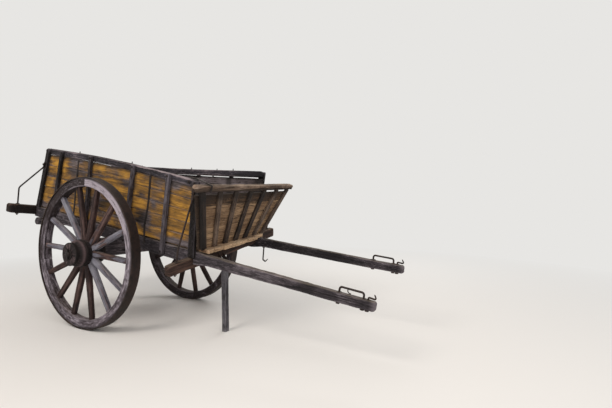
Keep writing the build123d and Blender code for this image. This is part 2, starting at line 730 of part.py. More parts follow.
def make_stays():
    """Bent irons that hold the corner posts from the ends of the cross-beams."""
    stays = []
    plans = (
        ("cross_beam_rear", REAR_CROSS_S, REAR_CROSS_H, REAR_CROSS_DEEP),
        ("cross_beam_front", FRONT_CROSS_S, FRONT_CROSS_H, FRONT_CROSS_DEEP),
    )
    for number, (node, stations, heights, deep) in enumerate(plans):
        for name, side in SIDES.items():
            foot_s, head_s, _, _ = CORNER_POSTS[name][number]
            lean = (head_s - foot_s) / (POST_LINE_TOP - POST_LINE_LOW)
            up = body_up(PITCH_LEFT if side > 0 else PITCH_RIGHT)
            middle = across(stations, heights, side * (HALF_BODY + STAY_FOOT_OUT[number]))
            against = side * (POST_OUT_Y + STAY_R + SEAT)
            turn_h = STAY_HEAD_H - STAY_FLAT
            points = [middle - up * (deep / 2 + STAY_BELOW), middle + up * STAY_KNEE_H[number],
                      at(foot_s + lean * (turn_h - POST_LINE_LOW), against, turn_h),
                      at(foot_s + lean * (STAY_HEAD_H - POST_LINE_LOW), against, STAY_HEAD_H)]
            stay = rod(points, STAY_R, STAY_BEND_R)
            nodes[node] = [only(nodes[node][0] - stay)]
            stays.append(stay)
    keep("corner_stays", *stays)


def shaft_middle_y(s):
    """Distance of a shaft's middle from the cart's middle at a place along it."""
    root_y = HALF_BODY - BEAM_WIDE / 2
    return root_y + (TIP_Y - root_y) * (s - BODY_FRONT) / (SHAFT_TIP - BODY_FRONT)


def shaft_point(s, h, side):
    """Point in the middle plane of a shaft, at a place along it and a height."""
    level = at(s, side * HALF_BODY, h)
    return Vector(level.X, side * shaft_middle_y(s), level.Z)


def shaft_edge(s, root_h, tip_h):
    """Height of a shaft's upper or lower edge at a place along it."""
    return root_h + (tip_h - root_h) * (s - SHAFT_START) / (SHAFT_TIP - TIP_ROUND - SHAFT_START)


def make_harness_irons(name, side):
    """Long staple and open hook on top of a shaft near its tip, with nuts underneath."""
    middle = TIP_MIDDLE_LEFT if side > 0 else TIP_MIDDLE_RIGHT
    pitch = PITCH_LEFT if side > 0 else PITCH_RIGHT
    up = body_up(pitch)

    def spot(s, h):
        return shaft_point(s, h, side)

    def top(s):
        return shaft_edge(s, SHAFT_TOP, middle + TIP_DEEP / 2)

    def low(s):
        return shaft_edge(s, SHAFT_LOW, middle - TIP_DEEP / 2)

    rear_s = STAPLE_REAR
    front_s = STAPLE_REAR + STAPLE_LONG
    bar_h = top(rear_s) + STAPLE_RISE
    points = [spot(rear_s, low(rear_s) - STAPLE_NUT_DEEP), spot(rear_s, bar_h),
              spot(front_s, top(front_s) + STAPLE_RISE),
              spot(front_s, low(front_s) - STAPLE_NUT_DEEP)]
    staple = rod(points, STAPLE_R, STAPLE_BEND_R)
    hook_s = front_s + HOOK_AHEAD
    hook_low = spot(hook_s, low(hook_s) - STAPLE_NUT_DEEP)
    hook_points = [hook_low, spot(hook_s, top(hook_s) + HOOK_RISE),
                   spot(hook_s + HOOK_LONG, top(hook_s) + HOOK_RISE + HOOK_DIP),
                   spot(hook_s + HOOK_LONG - HOOK_BACK, top(hook_s) + HOOK_RISE + HOOK_OPEN)]
    hook = rod(hook_points, HOOK_R, HOOK_BEND_R)
    shaft = nodes[f"side_beam_{name}"][0] - staple - hook
    nodes[f"side_beam_{name}"] = [only(shaft)]
    for s in (rear_s, front_s):
        staple += nut(spot(s, low(s)), up)
    hook += nut(spot(hook_s, low(hook_s)), up)
    keep(f"shaft_staple_{name}", only(staple))
    keep(f"shaft_hook_{name}", only(hook))


def nut(place, up):
    """Round nut against the underside of a timber."""
    face = Plane(place - up * STAPLE_NUT_DEEP, z_dir=up) * Circle(STAPLE_NUT_R)
    return extrude(face, amount=STAPLE_NUT_DEEP - SEAT, dir=up)


def make_drop_hook():
    """Iron hook that hangs from the root of the left shaft."""
    top = shaft_edge(DROP_HOOK_S, SHAFT_TOP, TIP_MIDDLE_LEFT + TIP_DEEP / 2)
    low = shaft_edge(DROP_HOOK_S, SHAFT_LOW, TIP_MIDDLE_LEFT - TIP_DEEP / 2)
    end_h = low - DROP_HOOK_LONG
    turns = ((0, top), (0, end_h), (DROP_HOOK_BEND, end_h - DROP_HOOK_BEND / 2),
             (2 * DROP_HOOK_BEND, end_h + DROP_HOOK_BEND / 2))
    points = [shaft_point(DROP_HOOK_S + ahead, h, 1) for ahead, h in turns]
    hook = rod(points, DROP_HOOK_R, DROP_HOOK_BEND / 3)
    nodes["side_beam_left"] = [only(nodes["side_beam_left"][0] - hook)]
    keep("drop_hook", hook)


def make_prop():
    """Prop leg, hinged on a pin between two iron cheeks under the front cross-beam."""
    half = PROP_SIDE / 2
    foot_half = PROP_FOOT_SIDE / 2
    foot_x = PROP_X + PROP_LEAN
    outline = [
        Line((foot_x - foot_half, -WHEEL_R), (foot_x + foot_half, -WHEEL_R)),
        Line((foot_x + foot_half, -WHEEL_R), (PROP_X + half, PROP_PIVOT_Z)),
        ThreePointArc((PROP_X + half, PROP_PIVOT_Z), (PROP_X, PROP_PIVOT_Z + half),
                      (PROP_X - half, PROP_PIVOT_Z)),
        Line((PROP_X - half, PROP_PIVOT_Z), (foot_x - foot_half, -WHEEL_R)),
    ]
    face = Plane((0, PROP_Y + half, 0), x_dir=(1, 0, 0), z_dir=(0, -1, 0)) * make_face(outline)
    leg = extrude(face, amount=PROP_SIDE, dir=(0, -1, 0))
    pin_half = half + CHEEK_GAP + CHEEK_THICK
    pin = disc(PROP_PIN_R, PROP_Y - pin_half, PROP_Y + pin_half, PROP_X, PROP_PIVOT_Z)
    leg -= disc(PROP_PIN_R + PROP_PIN_FIT, PROP_Y - half, PROP_Y + half, PROP_X, PROP_PIVOT_Z)
    cheeks = []
    for sign in (-1, 1):
        low_y, high_y = sorted((PROP_Y + sign * (half + CHEEK_GAP), PROP_Y + sign * pin_half))
        cheek_half = CHEEK_WIDE / 2
        shape = Polygon((PROP_X - cheek_half, PROP_PIVOT_Z), (PROP_X + cheek_half, PROP_PIVOT_Z),
                        (PROP_X + cheek_half - CHEEK_BACK, CHEEK_TOP_Z),
                        (PROP_X - cheek_half - CHEEK_BACK, CHEEK_TOP_Z), align=None)
        eye = Pos(PROP_X, PROP_PIVOT_Z) * Circle(cheek_half)
        face = Plane((0, high_y, 0), x_dir=(1, 0, 0), z_dir=(0, -1, 0)) * (shape + eye)
        cheek = extrude(face, amount=high_y - low_y, dir=(0, -1, 0))
        cheeks.append(cheek - pin)
    beam_front = nodes["cross_beam_front"][0]
    for cheek in cheeks:
        beam_front -= cheek
    nodes["cross_beam_front"] = [only(beam_front)]
    keep("prop_leg", leg)
    keep("prop_pin", pin)
    keep("prop_cheeks", *cheeks)


for side_name, side_sign in SIDES.items():
    make_side_beam(side_name, side_sign)
make_floor()
make_cross_beams()
make_axle()
for side_name, side_sign in SIDES.items():
    make_side_wall(side_name, side_sign)
    make_harness_irons(side_name, side_sign)
    make_wheel(side_name, side_sign)
make_front_board()
make_tail_board()
make_stays()
make_drop_hook()
make_prop()

os.makedirs("parts", exist_ok=True)
whole = Compound(children=[solid for solids in nodes.values() for solid in solids])
size_box = whole.bounding_box()
ground = Pos(-(size_box.min.X + size_box.max.X) / 2, 0, -size_box.min.Z)
for node_name, solids in nodes.items():
    export_step(Compound([ground * solid for solid in solids]), f"parts/{node_name}.step")


def place(point):
    """Metres in the finished frame."""
    moved = point + ground.position
    return [round(value / 1000, 4) for value in (moved.X, moved.Y, moved.Z)]


print("origin shift", place(Vector(0, 0, 0)), "low", size_box.min, "high", size_box.max)
print("axle", place(Vector(0, 0, 0)))
print("prop pivot", place(Vector(PROP_X, PROP_Y, PROP_PIVOT_Z)))
for side_name, side_sign in SIDES.items():
    tip_middle = TIP_MIDDLE_LEFT if side_sign > 0 else TIP_MIDDLE_RIGHT
    for tip_s in (STAPLE_REAR, STAPLE_REAR + STAPLE_LONG, SHAFT_TIP):
        edge = shaft_edge(tip_s, SHAFT_TOP, tip_middle + TIP_DEEP / 2)
        print("shaft", side_name, tip_s, place(shaft_point(tip_s, edge, side_sign)))
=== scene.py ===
# %% [markdown]
# # An old bullock cart in weathered timber and forged iron
# The solids of the cart are already fixed: they say where every beam, board and wheel is.
# They could simply be painted, but old timber is known by its rounded edges, splits and
# ragged ends, and those are shapes. So each piece is drawn anew inside its own solid, and
# worn paint, rust, bolts and nails are added. All lengths are metres, +X points forward
# along the shafts, +Y to the cart's left and +Z up.

# %% Load the solids
import math
import json
import bpy
import numpy as np
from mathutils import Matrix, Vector


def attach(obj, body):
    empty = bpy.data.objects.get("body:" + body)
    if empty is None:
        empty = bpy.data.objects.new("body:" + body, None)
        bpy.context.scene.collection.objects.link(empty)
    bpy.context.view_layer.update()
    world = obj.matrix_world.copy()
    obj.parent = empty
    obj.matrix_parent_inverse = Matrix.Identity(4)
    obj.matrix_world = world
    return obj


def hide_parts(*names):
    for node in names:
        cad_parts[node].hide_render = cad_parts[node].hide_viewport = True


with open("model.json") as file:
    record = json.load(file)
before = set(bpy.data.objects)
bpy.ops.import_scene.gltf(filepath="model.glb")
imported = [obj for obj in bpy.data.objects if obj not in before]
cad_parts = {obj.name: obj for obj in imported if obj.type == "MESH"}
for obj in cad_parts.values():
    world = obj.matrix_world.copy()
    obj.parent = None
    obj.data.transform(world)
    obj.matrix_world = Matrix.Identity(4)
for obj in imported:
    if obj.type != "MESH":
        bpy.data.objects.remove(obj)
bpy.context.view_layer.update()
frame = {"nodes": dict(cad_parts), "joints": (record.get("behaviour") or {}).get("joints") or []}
joint_at = {joint["name"]: np.array(joint["pos_m"]) for joint in frame["joints"]}
AHEAD, LEFT, UP = np.eye(3)
AXLE = joint_at["wheel_right_turn"] * (AHEAD + UP)
WHEEL_Y = abs(joint_at["wheel_right_turn"][1])
WHEEL_R = AXLE[2]
print("solids:", len(frame["nodes"]), "axle at", AXLE, "wheels at", WHEEL_Y)

# %% [markdown]
# ## Places on a racked body
# The body hangs nose down, and its right side hangs lower than its left, as an old frame
# does when its joints are loose. It could be drawn level and bent afterwards by a lattice,
# but then no point could be checked against the solids. So a place is given by s, the
# distance along a side beam from the axle, y across the cart and h, the height above the
# axle square to the beam. One function turns such places into points of the frame, and a
# second one keeps to the slope of one side, because each side wall is stiff in itself.

# %% Body coordinates
PITCH = {"right": math.radians(9.0), "left": math.radians(5.2)}
SIDES = {"right": -1.0, "left": 1.0}
HALF_BODY = 0.5


def sloped(s, y, h, slope):
    """Turn (s, h) nose down by the slope about the axle, and put it at y."""
    s, y, h, slope = np.broadcast_arrays(*(np.asarray(v, float) for v in (s, y, h, slope)))
    along = s * np.cos(slope) + h * np.sin(slope)
    up = h * np.cos(slope) - s * np.sin(slope)
    return np.stack([along, y, up], -1) + AXLE


def slope_at(y):
    """Slope of the body at y: straight change from the right side's to the left side's."""
    share = np.clip(np.asarray(y, float) / HALF_BODY, -1, 1) / 2 + 0.5
    return PITCH["right"] + (PITCH["left"] - PITCH["right"]) * share


def on_body(s, y, h):
    return sloped(s, y, h, slope_at(y))


def on_side(side, s, y, h):
    return sloped(s, SIDES[side] * np.asarray(y, float), h, PITCH[side])


def up_at(slope):
    """Unit vector square to a beam that hangs nose down by the slope."""
    return np.array([math.sin(slope), 0.0, math.cos(slope)])


print("1 m ahead of the axle, right and left:", on_body(1.0, [-HALF_BODY, HALF_BODY], 0.0).round(3))

# %% [markdown]
# ## The camera
# The cart is seen from in front and to its right, from a little above the height of the
# axle. A camera can be moved by hand until the picture looks about right, but then no edge
# can be trusted to a pixel. This one was worked out from both wheels and the shafts: it is
# level, and its focal length is 392 pixels in a picture 612 pixels wide.

# %% Camera
PICTURE_WIDE = 612
FOCAL_PIXELS = 392
SENSOR = 36.0
VIEW_TURN = math.radians(28.3)
EYE = AXLE + np.array([4.028, -3.305, 0.515])


def new_object(name, data):
    """Object with its data, linked into the scene."""
    thing = bpy.data.objects.new(name, data)
    bpy.context.scene.collection.objects.link(thing)
    return thing


camera_data = bpy.data.cameras.new("photo_camera")
camera_data.sensor_width = SENSOR
camera_data.lens = SENSOR * FOCAL_PIXELS / PICTURE_WIDE
camera = new_object("photo_camera", camera_data)
camera.location = EYE
camera.rotation_euler = (math.pi / 2, 0, VIEW_TURN)
bpy.context.scene.camera = camera
bpy.context.scene.view_settings.view_transform = "Standard"
print("lens", round(camera_data.lens, 2), "mm, eye at", EYE)

# %% [markdown]
# ## Nodes in one call
# The floor, the sky and every finish on the cart are trees of shader nodes. Each node could
# be added, set and linked in lines of its own. One helper takes its settings and its inputs
# together, as numbers or as links, so that a finish reads from top to bottom. Colours are
# written as seen on a screen, and turned into the linear light that shaders count in.


# %% Node helpers
def linear(red, green, blue):
    """Colour for a shader from values of 0 to 255 as seen on a screen."""
    values = [v / 255 for v in (red, green, blue)]
    return (*[v / 12.92 if v <= 0.04045 else ((v + 0.055) / 1.055) ** 2.4 for v in values], 1.0)


def add_node(tree, kind, inputs=None, **settings):
    """New node with its settings, whose inputs are numbers or other nodes' outputs."""
    node = tree.nodes.new("ShaderNode" + kind)
    for name, value in settings.items():
        setattr(node, name, value)
    for key, value in (inputs or {}).items():
        if isinstance(value, bpy.types.NodeSocket):
            tree.links.new(value, node.inputs[key])
        else:
            node.inputs[key].default_value = value
    return node


print("middle grey on a screen is", round(linear(128, 128, 128)[0], 3), "of white's light")

# %% [markdown]
# ## The floor and the light
# Soft daylight comes from one large warm lamp high on the cart's right, a weaker one from the
# front, a third from the left, and a pale sky. One small sun would be truer to noon, but its
# hard shadows would swallow the dark timber. The floor is plain, keeps the shadow near the
# cart and fades into the backdrop's colour further out. What the camera and reflections see
# of the sky is set apart from what lights the cart, so that it costs no contrast.

# %% Floor
BACKDROP = (0.80, 0.79, 0.77, 1.0)
FLOOR_HALF = 60.0
FLOOR_ROUGH, FLOOR_SHINE = 0.9, 0.1
FADE_START, FADE_END = 3.0, 8.0
SQUARE = ((-1, -1), (1, -1), (1, 1), (-1, 1))


def add_seen_share(tree):
    """Share of 1 for rays from the camera, and for reflected and refracted ones."""
    path = add_node(tree, "LightPath")
    seen = path.outputs["Is Camera Ray"]
    for kind in ("Is Glossy Ray", "Is Transmission Ray"):
        larger = add_node(tree, "Math", {0: seen, 1: path.outputs[kind]}, operation="MAXIMUM")
        seen = larger.outputs[0]
    return seen


def add_floor():
    """Square floor whose seen colour fades to the backdrop's between two distances."""
    mesh = bpy.data.meshes.new("floor")
    mesh.from_pydata([(x * FLOOR_HALF, y * FLOOR_HALF, 0) for x, y in SQUARE], [], [(0, 1, 2, 3)])
    floor = new_object("floor", mesh)
    paint = bpy.data.materials.new("floor")
    paint.use_nodes = True
    tree = paint.node_tree
    shader = tree.nodes["Principled BSDF"]
    shader.inputs["Base Color"].default_value = BACKDROP
    shader.inputs["Roughness"].default_value = FLOOR_ROUGH
    shader.inputs["Specular IOR Level"].default_value = FLOOR_SHINE
    place = add_node(tree, "TexCoord").outputs["Object"]
    reach = add_node(tree, "VectorMath", {0: place}, operation="LENGTH")
    fade = add_node(tree, "MapRange", {"Value": reach.outputs["Value"], "From Min": FADE_START,
                                       "From Max": FADE_END})
    share = add_node(tree, "Math", {0: fade.outputs[0], 1: add_seen_share(tree)}, operation="MULTIPLY")
    far = add_node(tree, "Emission", {"Color": BACKDROP})
    mix = add_node(tree, "MixShader", {"Fac": share.outputs[0], 1: shader.outputs[0], 2: far.outputs[0]})
    tree.links.new(mix.outputs[0], tree.nodes["Material Output"].inputs["Surface"])
    mesh.materials.append(paint)


add_floor()
print("the floor fades from", FADE_START, "to", FADE_END, "m")

# %% Lamps and sky
CART_MIDDLE = (0.0, 0.0, 0.9)
SKY_LIGHT, SKY_TINT = 0.56, (1.0, 0.97, 0.95, 1)
# Name, place, size of the square, power and tint
LAMPS = (("key", (-0.5, -7.0, 6.5), 3.5, 400, (1.0, 0.93, 0.86)),
         ("fill", (6.5, -3.0, 4.5), 5.0, 150, (1.0, 0.94, 0.88)),
         ("back", (0.5, 6.5, 5.5), 4.0, 170, (1.0, 0.98, 0.95)))


def add_lamp(name, place, size, power, tint):
    """Square soft lamp at a place, turned to the middle of the cart."""
    lamp_data = bpy.data.lights.new(name, "AREA")
    lamp_data.size = size
    lamp_data.energy = power
    lamp_data.color = tint
    lamp = new_object(name, lamp_data)
    lamp.location = place
    lamp.rotation_euler = (Vector(CART_MIDDLE) - Vector(place)).to_track_quat("-Z", "Y").to_euler()


def add_sky():
    """Sky that lights the cart at one strength and shows the backdrop's colour."""
    world = bpy.data.worlds.new("sky")
    bpy.context.scene.world = world
    world.use_nodes = True
    tree = world.node_tree
    tree.nodes.clear()
    light = add_node(tree, "Background", {"Color": SKY_TINT, "Strength": SKY_LIGHT})
    seen = add_node(tree, "Background", {"Color": BACKDROP})
    mix = add_node(tree, "MixShader", {"Fac": add_seen_share(tree), 1: light.outputs[0],
                                       2: seen.outputs[0]})
    add_node(tree, "OutputWorld", {"Surface": mix.outputs[0]})


for lamp_row in LAMPS:
    add_lamp(*lamp_row)
add_sky()
print("lamps:", [row[0] for row in LAMPS])

# %% [markdown]
# ## Repeatable roughness
# Old wood is never quite straight. A Displace modifier with a noise texture could push a
# finished mesh about, but here the amount is needed before there is a mesh. So a smooth
# random field is worked out, the same on each run: every cell of a lattice gets a number
# from its own place, and a smooth step blends the numbers between the cells.

# %% Noise
CELL_PRIMES, SEED_PRIME, MIX_PRIME = (73856093, 19349663, 83492791), 2971215073, 1274126177
LAST_BITS, HALF_BITS = 0xFFFFF, 0x7FFFF


def cell_number(cell, seed):
    """Random number from -1 to 1 that depends only on the cell and the seed."""
    mixed = cell[0] * CELL_PRIMES[0] ^ cell[1] * CELL_PRIMES[1] ^ cell[2] * CELL_PRIMES[2]
    mixed = mixed ^ (seed * SEED_PRIME)
    mixed = (mixed ^ (mixed >> 15)) * MIX_PRIME
    mixed = (mixed ^ (mixed >> 13)) & LAST_BITS
    return mixed / HALF_BITS - 1.0


def noise(x, y, z, seed):
    """Blend of the numbers at the eight corners of the cell round each point."""
    x, y, z = np.broadcast_arrays(x, y, z)
    low = [np.floor(v).astype(np.int64) for v in (x, y, z)]
    part = [v - f for v, f in zip((x, y, z), low)]
    smooth = [p * p * (3 - 2 * p) for p in part]
    total = np.zeros(x.shape)
    for corner in range(8):
        step = [(corner >> axis) & 1 for axis in range(3)]
        share = np.ones(x.shape)
        for axis in range(3):
            share = share * (smooth[axis] if step[axis] else 1 - smooth[axis])
        total += share * cell_number([low[axis] + step[axis] for axis in range(3)], seed)
    return total


print("noise from", noise(np.linspace(0, 9, 50), 0.3, 0.7, 4).min().round(2))

# %% [markdown]
# ## Skins: from rings of points to one closed surface
# Beams, spokes and stays are all long pieces with one section. A box with Bevel and
# Subdivision Surface modifiers could be rounded like them, but its grain wouldn't follow a
# curved felloe. So every piece is a skin over rings: a section carried along a path. A ring
# grid with n rings of m points gives n-1 by m four-sided faces, and a point in the middle of
# each end closes it. The skin carries its own map: u runs along the grain and v round the
# section, both in metres, so that one grain pattern fits every timber at its true scale.


# %% Skins
def unit(way):
    return way / np.linalg.norm(way)


def run_of(points):
    """Length run from the start of a line to each of its points."""
    return np.concatenate([[0], np.cumsum(np.linalg.norm(np.diff(points, axis=0), axis=1))])


def ring_faces(rows, next_rows, u, v):
    """Faces between each ring and its next one, with the map (u, v) at their corners."""
    around = len(v) - 1
    i, down, j = rows[:, None], next_rows[:, None], np.arange(around)
    right = (j + 1) % around
    quads = np.stack([i * around + j, down * around + j, down * around + right, i * around + right], -1)
    u_low, u_high, v_low, v_high = np.broadcast_arrays(u[:-1, None], u[1:, None], v[:-1], v[1:])
    quad_map = np.stack([np.stack([u_low, v_low], -1), np.stack([u_high, v_low], -1),
                         np.stack([u_high, v_high], -1), np.stack([u_low, v_high], -1)], 2)
    return quads.reshape(-1, 4), quad_map.reshape(-1, 4, 2)


def skin(rings, u, v, shift, ends=None):
    """Closed surface over rings (n, m, 3), with u for each ring and v for each column."""
    count, around = rings.shape[:2]
    if ends is None:
        ends = np.stack([rings[0].mean(0), rings[-1].mean(0)])
    points = np.concatenate([rings.reshape(-1, 3), ends])
    quads, quad_map = ring_faces(np.arange(count - 1), np.arange(1, count), u, v)
    col = np.arange(around)
    after = (col + 1) % around
    first = np.full(around, count * around)
    last = (count - 1) * around
    fans = np.concatenate([np.stack([first, col, after], -1),
                           np.stack([first + 1, last + after, last + col], -1)])
    fan_map = np.zeros((2 * around, 3, 2))
    fan_map[:around, :, 0] = u[0]
    fan_map[around:, :, 0] = u[-1]
    fan_map[:, :, 1] = np.tile(v[:-1], 2)[:, None]
    return {"points": points, "quads": quads, "fans": fans,
            "quad_map": quad_map + shift, "fan_map": fan_map + shift}


def facing_out(part):
    """Turn the faces round if the volume that they close comes out below zero."""
    p, q = part["points"], part["quads"]
    tris = np.concatenate([q[:, [0, 1, 2]], q[:, [0, 2, 3]], part["fans"]])
    volume = np.einsum("ij,ij->i", p[tris[:, 0]], np.cross(p[tris[:, 1]], p[tris[:, 2]])).sum()
    if volume < 0:
        for faces in ("quads", "quad_map", "fans", "fan_map"):
            part[faces] = part[faces][:, ::-1]
    return part


print("a line of three points runs", run_of(np.array([[0, 0, 0], [3, 4, 0], [3, 4, 1]])))

# %% [markdown]
# ## Like pieces as one object
# The boards of a wall were sawn and nailed as a set, and they are kept as one object. They
# could be made one by one and joined, but joined arrays are much faster. Four numbers at
# each point tell the finish what happened there: edge for a rubbed corner, bare for lost
# paint and for painted highlights on the side rails and hubs, tint for the piece's own tone,
# and the last for painted shade under rails and beside posts, with a few other dark patches.
# The object rides on its body, so that a wheel's wood turns with the wheel, and it stands
# for the solids it covers.

# %% Put a piece on the cart
# Marks at each point, and the value of each where a part has none
MARKS = {"edge": 0.0, "bare_and_highlight": 0.0, "tint": 0.5, "shade_and_dirt": 0.0}


def put(name, parts, material, body, nodes=()):
    """Join parts into one mesh object that rides on a body and stands for some solids."""
    parts = [facing_out(part) for part in parts]
    starts = np.cumsum([0] + [len(part["points"]) for part in parts])
    quads, fans = (np.concatenate([part[faces] + start for part, start in zip(parts, starts)])
                   for faces in ("quads", "fans"))
    points = np.concatenate([part["points"] for part in parts])
    quad_map, fan_map = (np.concatenate([part[faces] for part in parts]).reshape(-1, 2)
                         for faces in ("quad_map", "fan_map"))
    mesh = bpy.data.meshes.new(name)
    mesh.vertices.add(len(points))
    mesh.vertices.foreach_set("co", points.astype(np.float32).ravel())
    mesh.loops.add(quads.size + fans.size)
    corners = np.concatenate([quads.ravel(), fans.ravel()])
    mesh.loops.foreach_set("vertex_index", corners.astype(np.int32))
    mesh.polygons.add(len(quads) + len(fans))
    loop_starts = np.concatenate([np.arange(len(quads)) * 4, quads.size + np.arange(len(fans)) * 3])
    mesh.polygons.foreach_set("loop_start", loop_starts.astype(np.int32))
    mesh.update(calc_edges=True)
    grain = mesh.uv_layers.new(name="grain")
    grain.data.foreach_set("uv", np.concatenate([quad_map, fan_map]).astype(np.float32).ravel())
    for mark, usual in MARKS.items():
        values = [part.get(mark, np.full(len(part["points"]), usual)) for part in parts]
        layer = mesh.attributes.new(mark, "FLOAT", "POINT")
        layer.data.foreach_set("value", np.concatenate(values).astype(np.float32))
    mesh.polygons.foreach_set("use_smooth", np.ones(len(quads) + len(fans), bool))
    mesh.validate()
    piece = new_object(name, mesh)
    mesh.materials.append(material)
    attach(piece, body)
    if nodes:
        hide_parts(*nodes)
    print(name, "faces", len(quads) * 2 + len(fans))


# %% [markdown]
# ## One weathered timber
# A timber was sawn square, and then lost wood for years: its corners wore round, it bowed,
# its fibres stood up and long checks opened as it dried. Each one could be sculpted, but
# there are dozens, so the wear is worked out. A timber is given by the four corners of its
# section at a few stations. The section is a rectangle with round corners, whose radius
# changes along the timber, as wear does. Each point on it is a fixed sum of half the width,
# half the depth and the radius, so one plan serves every station.

# %% Timber sections
CORNER_STEPS = 3
# Columns of a plan: shares of half width and radius along x, the same along y, the normal, corner or not
FLAT_X, ROUND_X, FLAT_Y, ROUND_Y, NORMAL_X, NORMAL_Y, CORNER = range(7)


def section_plan(wide, deep, spacing):
    """Shares of half width, half depth and corner radius for each point round a section."""
    flat_counts = [max(2, round(length / spacing)) for length in (deep, wide, deep, wide)]
    signs = [(1, -1), (1, 1), (-1, 1), (-1, -1)]
    rows = []
    for corner, (sign_x, sign_y) in enumerate(signs):
        start = math.atan2(sign_y, sign_x) - math.pi / 4
        for step in range(CORNER_STEPS + 1):
            turn = start + math.pi / 2 * step / CORNER_STEPS
            rows.append((sign_x, math.cos(turn) - sign_x, sign_y, math.sin(turn) - sign_y,
                         math.cos(turn), math.sin(turn), 1.0))
        tail = rows[-1]
        after_x, after_y = signs[(corner + 1) % 4]
        begin = math.atan2(after_y, after_x) - math.pi / 4
        head = (after_x, math.cos(begin) - after_x, after_y, math.sin(begin) - after_y)
        for step in range(1, flat_counts[corner]):
            share = step / flat_counts[corner]
            mixed = [a + (b - a) * share for a, b in zip(tail[:NORMAL_X], head)]
            rows.append((*mixed, tail[NORMAL_X], tail[NORMAL_Y], 0.0))
    return np.array(rows)


def rounded(plan, wide, deep, radius):
    """Points (x, y) round a section: its plan times half its width, half its depth and radius."""
    return (plan[:, FLAT_X] * wide / 2 + plan[:, ROUND_X] * radius,
            plan[:, FLAT_Y] * deep / 2 + plan[:, ROUND_Y] * radius)


def round_run(x, y):
    """Length run round a closed section to each of its points and back to the first."""
    return run_of(np.stack([np.append(x, x[0]), np.append(y, y[0])], -1))


def along_stations(corners, spacing, end_round):
    """Places along the timber: even steps, closer together in the rounded ends."""
    reach = run_of(corners.mean(1))
    length = reach[-1]
    count = max(3, round((length - 2 * end_round) / spacing))
    middle = np.linspace(end_round, length - end_round, count + 1)
    turn = np.linspace(0, math.pi / 2, CORNER_STEPS + 1)
    lead = end_round * (1 - np.sin(turn))[::-1][:-1]
    places = np.concatenate([lead, middle, length - lead[::-1]])
    return places, reach, length


print("points round a 7 by 13 cm beam:", len(section_plan(0.072, 0.134, 0.007)))

# %% [markdown]
# ## How timber loses wood
# Four things move each point of a timber along its normal: slow waves, fibre grooves that
# run along the grain, drying checks, and ends that rot ragged. A bump in the finish could
# draw the finest of them, but it leaves the outline straight, so all but the smallest are
# real shape. Old timber only loses wood, so all but the waves go inward.

# %% Checks and ends
CHECK_WANDER, LONGEST_CHECKED = 0.006, 1.6
CHEWED_LENGTH, PINNED_LENGTH, TAIL_LENGTH = 0.06, 0.08, 0.05
# Smaller copies of the first and last section that close a timber's ends
CAPS = np.array([0.2, 0.55, 0.85])
WAY_STEPS = 5


def bell(off, reach):
    """Share of 1 in the middle that falls off like a bell over a reach."""
    return np.exp(-(off / reach) ** 2)


def drying_checks(rng, count, deep, u, around, v_round, length, across, seed):
    """Depth of a few cracks: each fades along the grain and is bell-shaped across it."""
    depth = 0.0
    for _ in range(count):
        spot = rng.uniform(0, v_round)
        middle = rng.uniform(0.05, 0.95) * length
        long = rng.uniform(0.15, 0.45) * min(length, LONGEST_CHECKED)
        wander = spot + CHECK_WANDER * noise(u * 6, 0.0, spot * 10, seed)
        off = np.abs(around - wander)
        off = np.minimum(off, v_round - off)
        fade = np.clip(1 - np.abs(u - middle) / long, 0, 1) ** 0.6
        depth = depth + deep * rng.uniform(0.5, 1) * fade * bell(off, across * 0.62)
    return depth


def with_caps(rows):
    return np.concatenate([CAPS[:, None] * rows[0], rows, CAPS[::-1, None] * rows[-1]])


def chewed(rings, x, y, line, at, length, ragged, seed):
    """Rings whose ends are gnawed inward by a noise that fades out along the timber."""
    chew = ragged * (noise(x * 38, y * 38, 1.5, seed) + 0.6 * noise(x * 120, y * 60, 7.5, seed))
    edge = len(CAPS)
    start_way = unit(line[edge] - line[edge + WAY_STEPS])
    end_way = unit(line[-edge - 1] - line[-edge - 1 - WAY_STEPS])
    for way, from_end in ((start_way, at), (end_way, length - at)):
        near = np.clip(1 - from_end / CHEWED_LENGTH, 0, 1)[:, None] ** 2
        rings = rings - way * (np.abs(chew) * near)[..., None]
    return rings


